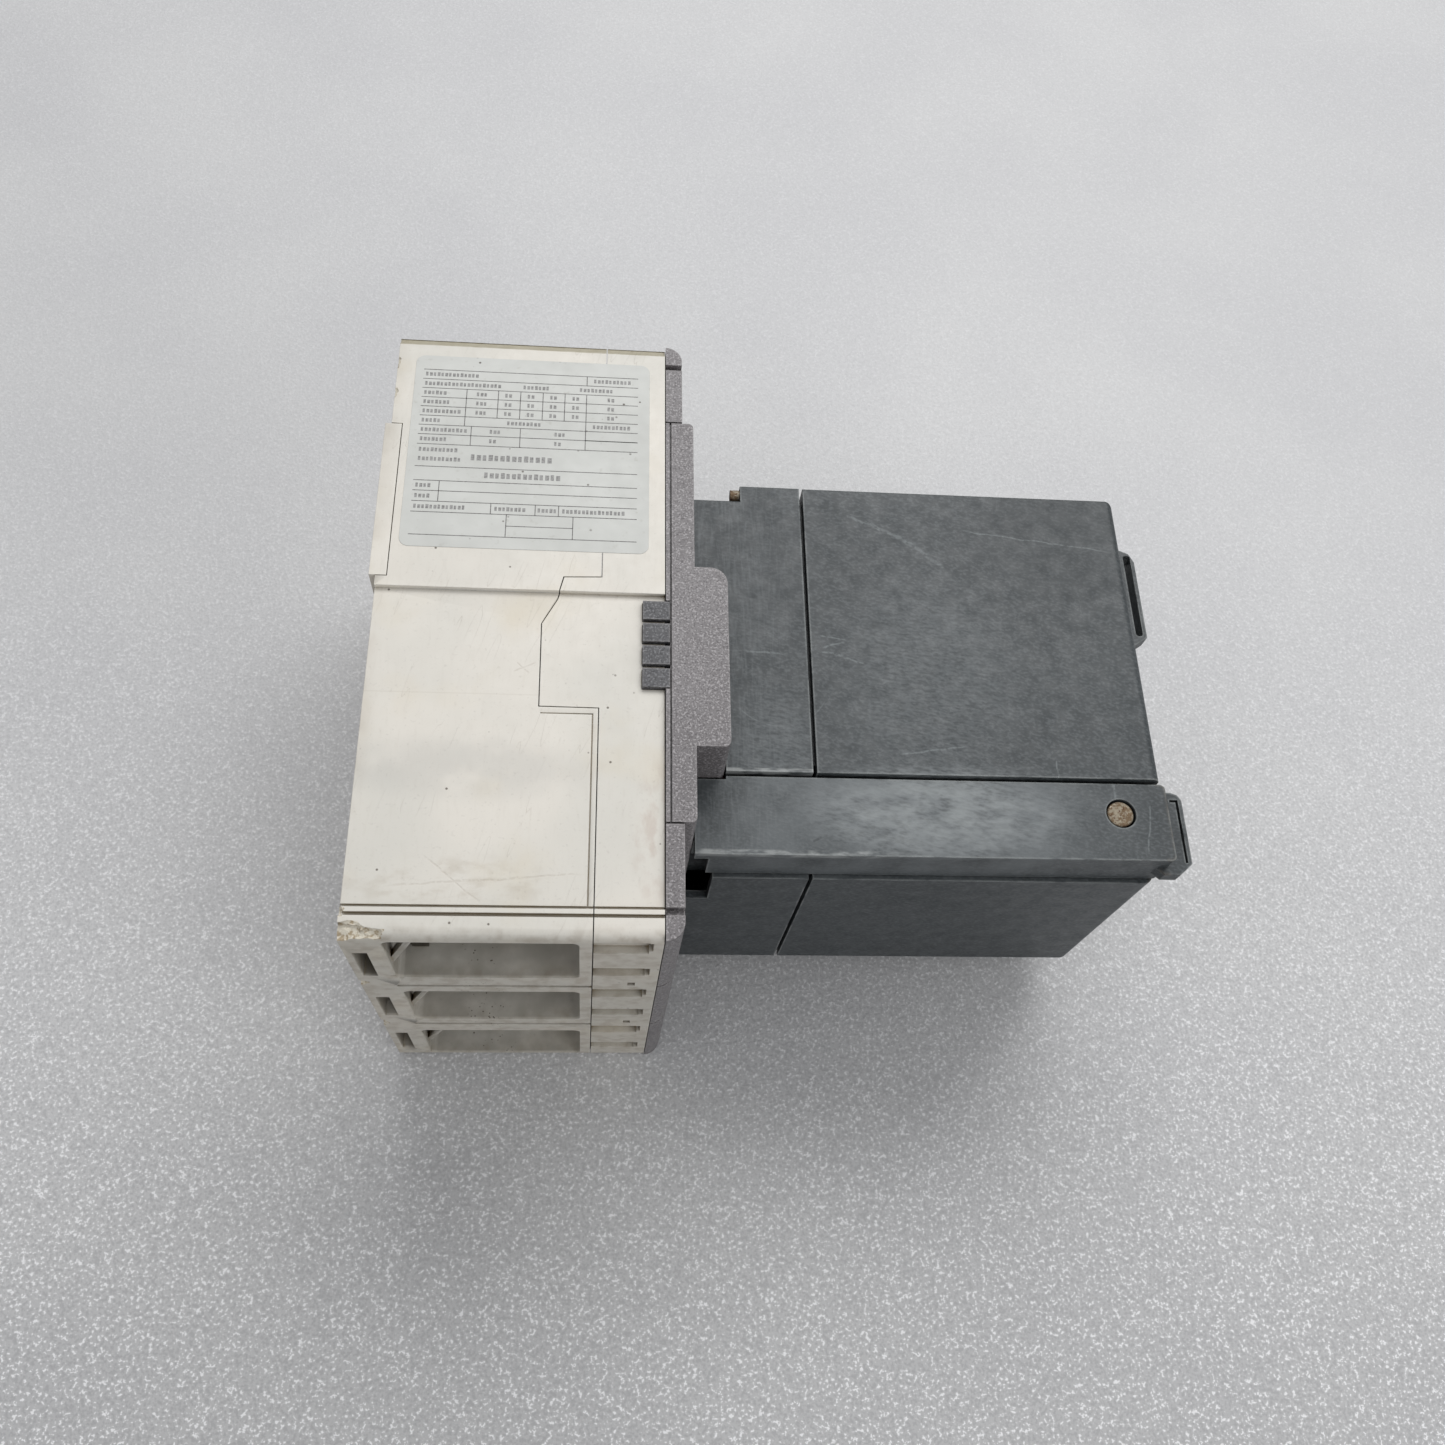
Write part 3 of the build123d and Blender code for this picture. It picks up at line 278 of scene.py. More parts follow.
# ---- finishes --------------------------------------------------------------------------------
def case_plastic():
    """Aged ivory thermoset: faint clouds of yellowing, grime and painted shade in every seam,
    painted shade in recesses, scuffs and pits.
    """
    f = Finish("case_plastic")
    x, y, z = f.axes()
    cream, grey_cream, yellowed = srgb(226, 221, 211), srgb(215, 212, 203), srgb(219, 208, 184)
    brown, umber = srgb(128, 108, 80), srgb(70, 56, 40)
    colour = f.mix(f.band(f.noise(30, 2), 0.3, 0.72), cream, grey_cream)
    colour = f.mix(f.times(f.band(f.noise(19, 3, seed=2), 0.52, 0.8), 0.45), colour, yellowed)
    shade = f.times(f.patch((24, -38), (34, 9)), f.band(f.noise(9, 3, seed=12), 0.25, 0.6))
    colour = f.mix(f.times(shade, 0.3), colour, srgb(178, 177, 172))
    colour = f.mix(f.times(f.band(f.noise(0.9, 2, (1, 5, 1)), 0.5, 0.8), 0.05), colour, brown)
    colour = f.mix(f.times(f.band(f.noise(0.7, 3, seed=14), 0.58, 0.8), 0.12), colour, umber)
    scuffs = f.most(
        f.hairlines(6, (5, 0.5, 1), (0, 0, 72), 0.004, 1.5),
        f.stroke((14, -63.5), (44, -61.2), 0.35, 2),
        f.stroke((18, -58.4), (27, -66.0), 0.3, 4),
        f.stroke((33, -15), (36.5, -13.2), 0.25, 6),
        f.stroke((33.4, -13.2), (35.6, -15.2), 0.25, 8),
    )
    colour = f.mix(f.times(scuffs, 0.16), colour, brown)
    # smudges low on the side, and a pinkish stain beside the front edge
    blots = f.band(f.noise(2.6, 5, (2, 1, 1), seed=16), 0.46, 0.7)
    smudge = f.times(f.patch((22, -63), (26, 7)), blots)
    colour = f.mix(f.times(smudge, 0.3), colour, srgb(168, 154, 132))
    blots = f.band(f.noise(2.4, 4, (1, 2, 1), seed=17), 0.42, 0.66)
    stain = f.times(f.patch((63, -52), (6, 20)), blots)
    colour = f.mix(f.times(stain, 0.3), colour, srgb(176, 150, 134))
    # a faint mould parting line across the rear half
    parting = f.times(f.within(y, -20.9, -20.7, 0.1), f.band(x, 38.4, 37.8), f.band(z, 51, 52))
    colour = f.mix(f.times(parting, 0.35), colour, brown)
    # terminal ends below the top face are darker than the middle: dirt and painted shade
    ends = f.band(f.math("ABSOLUTE", y), 70.5, 75.0)
    colour = f.mix(f.times(ends, f.band(z, 52.2, 51.0), 0.3), colour, srgb(164, 156, 138))
    # painted shade inside the terminal chambers, uneven over their walls
    inside = f.times(f.within(f.math("ABSOLUTE", y), 55.5, 74.2, 0.5), f.band(z, 50.6, 50.2))
    inside = f.times(inside, f.within(x, 2.5, 48.6, 0.3))
    inside = f.times(inside, f.band(f.noise(7, 3, seed=13), 0.0, 0.7), 0.62)
    colour = f.mix(inside, colour, srgb(132, 127, 116))
    # painted shade: broad darkening deep in recesses and hollows
    painted_recess_shade = f.band(f.crevice(9, 6), 0.45, 0.95)
    colour = f.mix(f.times(painted_recess_shade, 0.75), colour, srgb(92, 86, 76))
    film = f.times(ends, f.band(f.noise(3.0, 5, seed=4), 0.4, 0.7))
    colour = f.mix(f.times(film, 0.3), colour, brown)
    lip = f.times(f.within(y, 72.2, 74.3, 0.15), f.band(z, 49.5, 50.5))
    colour = f.mix(f.times(lip, 0.8), colour, srgb(158, 150, 124))
    rear = f.times(f.band(x, 5.0, 0.0), f.band(f.noise(14, 6, seed=6), 0.35, 0.75))
    colour = f.mix(f.times(rear, 0.3), colour, brown)
    seam = f.crevice(1.1, 8)
    grime = f.times(f.band(seam, 0.28, 0.7), f.band(f.noise(4, 4, seed=1), 0.1, 0.45))
    colour = f.mix(f.times(grime, 0.8), colour, srgb(142, 122, 84))
    # the deepest parts of seams darkened to umber: dark dirt and painted shade
    colour = f.mix(f.times(f.band(seam, 0.6, 0.92), 0.9), colour, umber)
    spots = f.times(f.flecks(4.1, 0.085, 5), f.band(f.noise(13, 2, seed=7), 0.5, 0.6))
    colour = f.mix(f.times(spots, 0.8), colour, umber)
    specks = f.times(f.flecks(0.9, 0.24, 3), f.band(y, -58, -66), f.within(x, 23, 30, 2))
    specks = f.times(specks, f.band(z, 51, 50), f.band(f.noise(3, 2, seed=9), 0.48, 0.56))
    colour = f.mix(f.times(specks, 0.85), colour, umber)
    worn = f.times(f.corner(0.5), f.band(f.noise(3, 3, seed=11), 0.4, 0.6))
    colour = f.mix(f.times(worn, 0.5), colour, srgb(238, 236, 228))
    f.bump(f.noise(20, 2), 0.12, 0.5)
    f.bump(f.noise(0.45, 3), 0.01, 0.4)
    f.bump(f.math("SUBTRACT", 1.0, f.most(scuffs, spots, parting)), 0.05, 0.6)
    return f.done(colour, f.rough(0.42, 0.6))


def broken_plastic():
    """Freshly broken thermoset at a chipped corner: layered, crumbly, with painted shade in its
    folds.
    """
    f = Finish("broken_plastic", 0)
    cream, brown = srgb(222, 215, 198), srgb(172, 156, 130)
    flakes = f.noise(1.0, 6, (3.0, 1, 0.6), (10, 25, 35))
    colour = f.mix(f.band(flakes, 0.52, 0.38), cream, brown)
    # painted shade: the folds of the break darkened to brown
    colour = f.mix(f.times(f.band(f.crevice(0.8), 0.3, 0.9), 0.7), colour, srgb(104, 86, 62))
    f.bump(flakes, 0.35)
    return f.done(colour, f.rough(0.6, 0.85))


def mask_plastic(name="mask_plastic", base=(120, 116, 117)):
    """Warm grey polycarbonate with a spark-eroded grain, its sparkle painted as light and dark
    flecks.
    """
    f = Finish(name)
    tone, light, dark = srgb(*base), srgb(*[c + 46 for c in base]), srgb(*[c - 46 for c in base])
    colour = f.mix(f.band(f.noise(11, 3), 0.35, 0.7), tone, srgb(*[c - 9 for c in base]))
    # light flecks are painted glints off the grain, dark flecks its painted shade
    colour = f.mix(f.times(f.band(f.noise(0.45, 1, seed=1), 0.52, 0.66), 0.85), colour, light)
    colour = f.mix(f.times(f.band(f.noise(0.45, 1, seed=2), 0.54, 0.68), 0.8), colour, dark)
    edge = f.times(f.corner(0.45), f.band(f.noise(2.5, 3, seed=3), 0.25, 0.5))
    colour = f.mix(f.times(edge, 0.6), colour, srgb(182, 178, 177))
    # painted shade: near-black darkening in gaps and crevices
    colour = f.mix(f.band(f.crevice(0.9), 0.35, 0.85), colour, srgb(40, 36, 34))
    f.bump(f.noise(0.45, 1), 0.03, 0.6)
    return f.done(colour, f.rough(0.38, 0.54, 1.0))


def motor_plastic():
    """Blue-green grey housing with a fine grain, rub-worn patches that also carry painted sheen,
    painted shade in patches and crevices, drag marks and pale edges.
    """
    f = Finish("motor_plastic")
    base = (62, 67, 69)
    x, y, z = f.axes()
    tone, pale, deep = srgb(*base), srgb(*[c + 44 for c in base]), srgb(*[c - 20 for c in base])
    upper = f.band(z, 34.0, 35.5)
    colour = f.mix(f.band(f.noise(34, 2, seed=2), 0.3, 0.7), tone, srgb(*[c - 7 for c in base]))
    grain = f.noise(0.6, 2, (1.6, 1, 1), (0, 0, -12))
    colour = f.mix(f.times(f.band(grain, 0.46, 0.68), 0.34), colour, pale)
    colour = f.mix(f.times(f.band(grain, 0.5, 0.3), 0.4), colour, deep)
    # areas worn by rubbing, also painted sheen: mid cover, bar and the lower part of the base
    rubs_and_sheen = f.most(
        f.times(f.patch((128, -6), (26, 36)), 0.6),
        f.times(f.patch((128, -40), (40, 15)), 1.8),
        f.times(f.patch((91, -26), (11, 20)), 0.75),
        f.times(f.patch((88, 14), (8, 22)), 0.4),
    )
    streaks = f.band(f.noise(0.7, 4, (3, 1, 1), (0, 0, -9)), 0.3, 0.68)
    colour = f.mix(f.times(rubs_and_sheen, streaks, upper, 0.7), colour, pale)
    # painted sheen on the corner bar, fading out towards its front end
    bar = f.times(f.band(y, -31.5, -32.0), f.band(z, 23.0, 24.0), f.band(x, 182, 140))
    colour = f.mix(f.times(bar, f.band(f.noise(12, 3, seed=23), 0.2, 0.7), 0.62), colour, pale)
    # pale dust and painted sheen in a band over the bar
    cloud = f.band(f.noise(3.2, 5, (2, 1, 1), seed=25), 0.3, 0.66)
    haze = f.times(f.patch((127, -40), (34, 12)), cloud, upper)
    colour = f.mix(f.times(haze, 0.5), colour, srgb(156, 161, 161))
    # painted shade: dim patches on the top face
    dull = f.most(
        f.times(f.patch((168, 34), (34, 24)), 0.6),
        f.times(f.patch((87, 24), (16, 26)), 0.6),
    )
    colour = f.mix(f.times(dull, upper, 0.55), colour, deep)
    brushed = f.times(f.band(f.noise(0.6, 2, (1, 9, 1)), 0.45, 0.7), f.band(x, 104, 84), upper)
    colour = f.mix(f.times(brushed, 0.3), colour, pale)
    lines = f.most(
        f.times(f.hairlines(11, (7, 0.35, 1), (0, 0, -14), 0.002, 0.4), 0.45),
        f.times(f.hairlines(9, (6, 0.4, 1), (0, 0, 78), 0.0015, 2.4), 0.4),
        f.stroke((113, 37.4), (126, 31.2), 0.7, 1),
        f.times(f.stroke((125, 31.4), (133, 24.6), 0.8, 2), 0.6),
        f.stroke((103, 3.9), (108, 3.2), 0.3, 3),
        f.stroke((103.4, 1.0), (107.6, 2.2), 0.3, 4),
        f.stroke((102.6, -0.3), (107, -0.9), 0.45, 5),
        f.stroke((108.2, -2.0), (112, -2.9), 0.4, 6),
        f.stroke((85.4, -0.5), (93, -0.9), 0.4, 7),
        f.stroke((155.6, -27.4), (155.4, -31.0), 0.3, 8),
        f.stroke((168.6, -32.4), (168.5, -36.6), 0.45, 9),
        f.stroke((121, -25.9), (133, -24.2), 0.35, 10),
        f.stroke((144, 34.5), (172, 31.0), 0.3, 11),
        f.stroke((174.6, -47.6), (176.4, -38.2), 0.3, 12),
        f.times(f.ring((92, -8), 11.8, 0.28, 2), f.band(y, -8, -14), 0.8),
    )
    colour = f.mix(f.times(lines, 0.2), colour, srgb(176, 184, 185))
    creases = f.most(
        f.stroke((119.6, 30.6), (126, 32.6), 0.4, 13),
        f.stroke((98.5, -46.9), (100.2, -46.2), 0.5, 14),
    )
    colour = f.mix(f.times(creases, 0.6), colour, srgb(44, 48, 50))
    worn = f.band(f.noise(5, 3, seed=3), 0.3, 0.55)
    colour = f.mix(f.times(f.corner(0.5), worn, 0.8), colour, srgb(176, 180, 178))
    low_edge = f.most(
        f.times(f.within(y, -31.2, -30.5, 0.3), f.within(x, 79, 99, 1)),
        f.times(f.within(y, -50.5, -49.6, 0.5), f.within(x, 76, 108, 12)),
    )
    chalky = f.times(low_edge, f.band(f.noise(1.6, 3, (3, 1, 1)), 0.35, 0.6), upper, 0.42)
    colour = f.mix(chalky, colour, srgb(196, 199, 197))
    # brownish wear along the front edge, partly painted highlight
    front = f.times(f.within(x, 178.6, 180.8, 0.5), f.corner(0.9))
    front = f.times(front, f.band(f.noise(2.4, 3, seed=21), 0.3, 0.6), 0.5)
    colour = f.mix(front, colour, srgb(122, 108, 90))
    # painted shade: near-black darkening in gaps and crevices
    colour = f.mix(f.times(f.band(f.crevice(1.0), 0.3, 0.8), 0.85), colour, srgb(30, 31, 31))
    f.bump(f.noise(30, 2), 0.2, 0.5)
    f.bump(grain, 0.03, 0.7)
    f.bump(f.math("SUBTRACT", 1.0, lines), 0.02, 0.5)
    return f.done(colour, f.rough(0.4, 0.55, 4.0), specular=0.45)


def label_film():
    """Matt silver-grey label film with a dusty, slightly worn face."""
    f = Finish("label_film", 0)
    colour = f.mix(f.band(f.noise(18, 3), 0.3, 0.7), srgb(204, 205, 200), srgb(196, 197, 192))
    dust = f.times(f.band(f.noise(1.6, 4, seed=3), 0.6, 0.8), 0.4)
    colour = f.mix(dust, colour, srgb(170, 168, 158))
    spots = f.times(f.flecks(3.1, 0.12, 1), f.band(f.noise(9, 2, seed=7), 0.52, 0.66))
    colour = f.mix(f.times(spots, 0.9), colour, srgb(72, 62, 50))
    f.bump(f.noise(0.6, 2), 0.008, 0.4)
    return f.done(colour, f.rough(0.4, 0.55))


def ink(name, tone):
    """Print on the label, worn thin in places."""
    f = Finish(name, 0)
    worn = f.band(f.noise(0.5, 3), 0.3, 0.62)
    colour = f.mix(worn, srgb(*tone), srgb(*[c + 34 for c in tone]))
    return f.done(colour, f.rough(0.5, 0.65))


def metal(name, bright, dull, low, high, grain=(1, 1, 1), stain=None):
    """Bare metal between two tones, with a roughness from low to high and maybe a stain."""
    f = Finish(name, 0.12)
    colour = f.mix(f.band(f.noise(2.5, 4, grain), 0.3, 0.7), srgb(*bright), srgb(*dull))
    if stain:
        clouds = f.times(f.band(f.noise(5, 4, seed=4), 0.5, 0.72), 0.8)
        colour = f.mix(clouds, colour, srgb(*stain))
    # painted shade: darkening in crevices
    colour = f.mix(f.times(f.crevice(0.8), 0.7), colour, srgb(38, 34, 30))
    f.bump(f.noise(0.5, 3, grain), 0.012, 0.6)
    return f.done(colour, f.rough(low, high, 2.0), metallic=1.0)


def rust():
    """Zinc plate gone to rust: tan and brown bloom over dull grey metal."""
    f = Finish("rusty_steel", 0.1)
    colour = f.mix(f.band(f.noise(0.9, 5), 0.42, 0.6), srgb(150, 140, 122), srgb(112, 92, 68))
    colour = f.mix(f.band(f.noise(0.6, 4, seed=2), 0.55, 0.66), colour, srgb(84, 54, 34))
    colour = f.mix(f.band(f.noise(0.45, 3, seed=5), 0.6, 0.7), colour, srgb(186, 176, 158))
    colour = f.mix(f.times(f.crevice(0.7), 0.9), colour, srgb(34, 26, 20))
    f.bump(f.noise(0.5, 5), 0.07, 0.8)
    return f.done(colour, f.rough(0.5, 0.8, 0.8), metallic=0.35)


def tinted(name, tone, low=0.35, high=0.5, speck=14):
    """Plain moulded plastic in one colour family, with handling marks."""
    f = Finish(name)
    base, darker = srgb(*tone), srgb(*[max(c - speck, 0) for c in tone])
    colour = f.mix(f.band(f.noise(6, 4), 0.35, 0.7), base, darker)
    colour = f.mix(f.times(f.corner(0.4), 0.4), colour, srgb(*[min(c + 45, 255) for c in tone]))
    # painted shade: near-black darkening in crevices
    colour = f.mix(f.times(f.band(f.crevice(0.9), 0.3, 0.85), 0.8), colour, srgb(28, 26, 24))
    f.bump(f.noise(0.5, 3), 0.015, 0.5)
    return f.done(colour, f.rough(low, high))


def clear_window():
    """Clear, slightly hazy plastic."""
    f = Finish("window_clear", 0)
    f.bump(f.noise(3, 3), 0.01, 0.4)
    f.bsdf.inputs["Transmission Weight"].default_value = 0.9
    f.bsdf.inputs["IOR"].default_value = 1.49
    haze = f.mix(f.band(f.noise(2, 3), 0.3, 0.7), srgb(238, 240, 240), srgb(214, 218, 218))
    return f.done(haze, f.rough(0.04, 0.14))


def floor_foam():
    """Pale grey floor with a fine bead structure, painted shade towards -Y and painted glints on
    the beads.
    """
    f = Finish("floor_foam", 0)
    _, y, _ = f.axes()
    colour = f.mix(f.band(f.noise(90, 3), 0.3, 0.7), srgb(206, 206, 206), srgb(200, 200, 201))
    # painted shade: the floor darkens towards -Y
    colour = f.mix(f.times(f.band(y, 40, -330), 0.75), colour, srgb(160, 160, 160))
    # painted glints on bright beads and painted shade on dim beads, both stronger towards -Y
    beads, near = f.noise(0.8, 2, seed=4), f.band(y, 160, -160)
    bright = f.times(f.band(beads, 0.56, 0.68), f.math("ADD", f.times(near, 0.6), 0.15))
    colour = f.mix(bright, colour, srgb(250, 250, 251))
    dim = f.times(f.band(beads, 0.5, 0.34), f.math("ADD", f.times(near, 0.3), 0.1))
    colour = f.mix(dim, colour, srgb(150, 150, 152))
    f.bump(beads, 0.25, 0.6)
    return f.done(colour, f.rough(0.4, 0.65, 1.2))


CASE = case_plastic()
MASK = mask_plastic()
MOTOR = motor_plastic()
RUST = rust()
STEEL = metal("bright_steel", (176, 178, 180), (140, 142, 144), 0.28, 0.45)
finishes = {
    "case_plastic": CASE,
    "mask_plastic": MASK,
    "motor_plastic": MOTOR,
    "label": label_film(),
    "terminal_tin": metal(
        "terminal_tin", (122, 118, 110), (92, 88, 80), 0.4, 0.6, (1, 6, 1), (84, 76, 62)
    ),
    "comb_plastic": mask_plastic("comb_plastic", (72, 72, 75)),
    "dark_plastic": tinted("dark_plastic", (46, 46, 47), speck=10),
    "copper": metal("copper", (198, 128, 92), (164, 98, 66), 0.3, 0.5, (1, 8, 1), (96, 70, 50)),
    "silver": metal("silver_contacts", (206, 202, 192), (168, 162, 150), 0.3, 0.5),
    "steel": STEEL,
    "rusty_steel": RUST,
    "red_plastic": tinted("red_plastic", (168, 34, 30)),
    "green_plastic": tinted("green_plastic", (34, 112, 62)),
    "board": tinted("circuit_board", (38, 92, 62), 0.3, 0.42),
    "window": clear_window(),
    "gear_plastic": tinted("gear_plastic", (206, 202, 190), 0.4, 0.55),
}
node_slots = {row["node"]: row["material_slot"] for row in frame["record"]["subparts"]}
own_finish = {  # pieces that look different from their material slot
    "outlet_combs": "comb_plastic",
    "line_terminals": "terminal_tin",
    "load_terminals": "terminal_tin",
}
for name, node in NODES.items():
    node.data.materials.clear()
    node.data.materials.append(finishes[own_finish.get(name, node_slots[name])])


# ---- mesh pieces -----------------------------------------------------------------------------
def add_piece(name, mesh, finish, body="breaker", stands_for=()):
    """Puts a finished mesh, given in millimetres, on a body."""
    for vertex in mesh.verts:
        vertex.co *= MM
    bmesh.ops.recalc_face_normals(mesh, faces=mesh.faces)
    data = bpy.data.meshes.new(name)
    mesh.to_mesh(data)
    mesh.free()
    piece = bpy.data.objects.new(name, data)
    bpy.context.scene.collection.objects.link(piece)
    data.materials.append(finish)
    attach(piece, body)
    if stands_for:
        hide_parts(*stands_for)
    return piece


def rounded_outline(x, y, radius, steps):
    """Points of a rounded rectangle, anticlockwise."""
    points = []
    for turn, cx, cy in ((0, x[1], y[1]), (90, x[0], y[1]), (180, x[0], y[0]), (270, x[1], y[0])):
        sx = -1 if cx == x[1] else 1
        sy = -1 if cy == y[1] else 1
        for step in range(steps + 1):
            angle = math.radians(turn + 90 * step / steps)
            across = cx + sx * radius + radius * math.cos(angle)
            along = cy + sy * radius + radius * math.sin(angle)
            points.append((across, along))
    return points


def slab(mesh, outline, low, high, inset=0.0):
    """A plate over an outline in X and Y, whose top edge may be drawn in a little."""
    centre = Vector((sum(p[0] for p in outline), sum(p[1] for p in outline))) / len(outline)
    rings = []
    for z, draw in ((low, 0.0), (high - inset, 0.0), (high, inset)):
        ring = []
        for point in outline:
            away = Vector(point) - centre
            at = centre + away * (1 - draw / away.length)
            ring.append(mesh.verts.new((at.x, at.y, z)))
        rings.append(ring)
    if inset == 0:
        for vertex in rings.pop(1):
            mesh.verts.remove(vertex)
    count = len(outline)
    for below, above in zip(rings, rings[1:]):
        for i in range(count):
            j = (i + 1) % count
            mesh.faces.new((below[i], below[j], above[j], above[i]))
    mesh.faces.new(list(reversed(rings[0])))
    mesh.faces.new(rings[-1])


# ---- rating label: generic grid with blank blocks --------------------------------------------
label_low, label_high = span("rating_label")
LABEL_TOP = label_high.z - 0.05
LABEL_W = label_high.x - label_low.x
LABEL_CORNER = 2.2
RULE = 0.2
PRINT_FOOT = LABEL_TOP - 0.02
RULE_TOP = LABEL_TOP + 0.015
BLOCK_TOP = LABEL_TOP + 0.02

film = bmesh.new()
label_edge = rounded_outline(
    (label_low.x, label_high.x), (label_low.y, label_high.y), LABEL_CORNER, steps=10
)
slab(film, label_edge, label_low.z, LABEL_TOP, inset=0.04)
add_piece("label_film", film, finishes["label"], stands_for=("rating_label",))

rules = bmesh.new()
bars = bmesh.new()


def on_label(across, down):
    """A point on the label from its share of the width and its distance below the top edge."""
    return label_low.x + across * LABEL_W, label_high.y - down


def rule(start, end):
    """A thin printed line between two label points."""
    (x0, y0), (x1, y1) = on_label(*start), on_label(*end)
    flat = abs(y0 - y1) < abs(x0 - x1)
    grow_x, grow_y = (0, RULE / 2) if flat else (RULE / 2, 0)
    low_x, high_x = min(x0, x1) - grow_x, max(x0, x1) + grow_x
    low_y, high_y = min(y0, y1) - grow_y, max(y0, y1) + grow_y
    corners = [(low_x, low_y), (high_x, low_y), (high_x, high_y), (low_x, high_y)]
    slab(rules, corners, PRINT_FOOT, RULE_TOP)


def word(across, down, length, tall=1.0):
    """A row of blank blocks where the real label has a word."""
    x, y = on_label(across, down)
    step = 0.9 * tall
    low = y - 0.5 * tall
    for index in range(round(length / step)):
        left = x + index * step
        right = left + (0.66 if index % 2 else 0.54) * tall
        high = y + (0.5 * tall if index % 3 else 0.62 * tall)
        corners = [(left, low), (right, low), (right, high), (left, high)]
        slab(bars, corners, PRINT_FOOT, BLOCK_TOP)


# ruled rows, in millimetres below the top edge, and columns, in shares of the width
LEFT, RIGHT = 0.035, 0.95
ROWS = [4.2, 7.0, 9.7, 12.4, 15.1, 17.8, 20.5, 23.2, 26.0, 32.3, 36.2, 39.0, 41.9, 44.8, 50.9]
for row in ROWS:
    rule((LEFT, row), (RIGHT, row))
for column in (0.223, 0.356, 0.45, 0.545, 0.638):
    rule((column, ROWS[2]), (column, ROWS[5]))
rule((0.73, ROWS[0]), (0.73, ROWS[1]))
rule((0.73, ROWS[2]), (0.73, ROWS[8]))
rule((0.223, ROWS[5]), (0.223, ROWS[6]))
for column in (0.253, 0.457):
    rule((column, ROWS[6]), (column, ROWS[8]))
rule((0.14, ROWS[10]), (0.14, ROWS[12]))
for column in (0.355, 0.535, 0.63):
    rule((column, ROWS[12]), (column, ROWS[13]))
for column in (0.42, 0.69):
    rule((column, ROWS[13]), (column, ROWS[14]))
rule((0.42, 47.9), (0.69, 47.9))
rule((0.73, ROWS[6] + 2.7), (RIGHT, ROWS[6] + 2.7))
# words: share of the width, distance below the top edge, length
for across, down, length in (
    (0.045, 5.6, 12.6), (0.76, 5.6, 8.6), (0.045, 8.4, 17.6), (0.46, 8.4, 6.6), (0.7, 8.4, 8.4),
    (0.045, 11.1, 5.4), (0.045, 13.8, 6.2), (0.045, 16.5, 8.8), (0.045, 19.2, 4.6),
    (0.4, 19.2, 8.4), (0.76, 19.2, 9.2), (0.045, 21.9, 10.6), (0.045, 24.6, 6.4),
    (0.33, 21.9, 3.0), (0.6, 21.9, 3.0), (0.33, 24.6, 2.0), (0.6, 24.6, 2.0),
    (0.045, 27.6, 8.6), (0.045, 30.2, 10.0), (0.045, 37.6, 4.0), (0.045, 40.5, 3.6),
    (0.045, 43.4, 11.6), (0.37, 43.4, 7.0), (0.545, 43.4, 4.2), (0.645, 43.4, 14.2),
):
    word(across, down, length)
CELLS = ((0.265, 2.6), (0.385, 2.0), (0.48, 2.0), (0.575, 2.0), (0.67, 1.6), (0.82, 2.2))
for down in (11.1, 13.8, 16.5):
    for across, length in CELLS:
        word(across, down, length)
word(0.26, 29.4, 19.5, 1.5)
word(0.32, 34.3, 17.5, 1.4)
add_piece("label_rules", rules, ink("label_rules", (92, 90, 88)))
add_piece("label_bars", bars, ink("label_ink", (122, 121, 119)))


# ---- rusty rivet in the corner bar -----------------------------------------------------------
rivet_low, rivet_high = span("bar_rivet")
rivet = bmesh.new()
rivet_x, rivet_y = (rivet_low.x + rivet_high.x) / 2, (rivet_low.y + rivet_high.y) / 2
rivet_r = (rivet_high.x - rivet_low.x) / 2
RIVET_FACE = rivet_high.z - 0.06
# rings of the worn head: share of the radius, height over its face; the last is the round rim
PROFILE = (
    (0.2, 0.05), (0.4, 0.02), (0.58, -0.03), (0.7, -0.02), (0.82, 0.0), (0.93, -0.06), (1.0, -0.3),
)
SIDES = 48
rings = []
for share, lift in PROFILE:
    ring = []
    for i in range(SIDES):
        angle = 2 * math.pi * i / SIDES
        reach_x = share * rivet_r * math.cos(angle)
        reach_y = share * rivet_r * math.sin(angle)
        at = Vector((rivet_x + reach_x, rivet_y + reach_y, 0))
        rough = 0.1 * noise.noise(at * 1.6) + 0.05 * noise.noise(at * 4.0)
        at.z = min(RIVET_FACE + lift + (rough if share < 1.0 else 0), rivet_high.z)
        ring.append(rivet.verts.new(at))
    rings.append(ring)
foot = [rivet.verts.new((v.co.x, v.co.y, rivet_low.z)) for v in rings[-1]]
rings.append(foot)
top = rivet.verts.new((rivet_x, rivet_y, rivet_high.z))
for i in range(SIDES):
    j = (i + 1) % SIDES
    rivet.faces.new((top, rings[0][i], rings[0][j]))
    for inner, outer in zip(rings, rings[1:]):
        rivet.faces.new((inner[i], outer[i], outer[j], inner[j]))
rivet.faces.new(list(reversed(foot)))
for face in rivet.faces:
    face.smooth = True
add_piece("rivet_head", rivet, RUST, stands_for=("bar_rivet",))


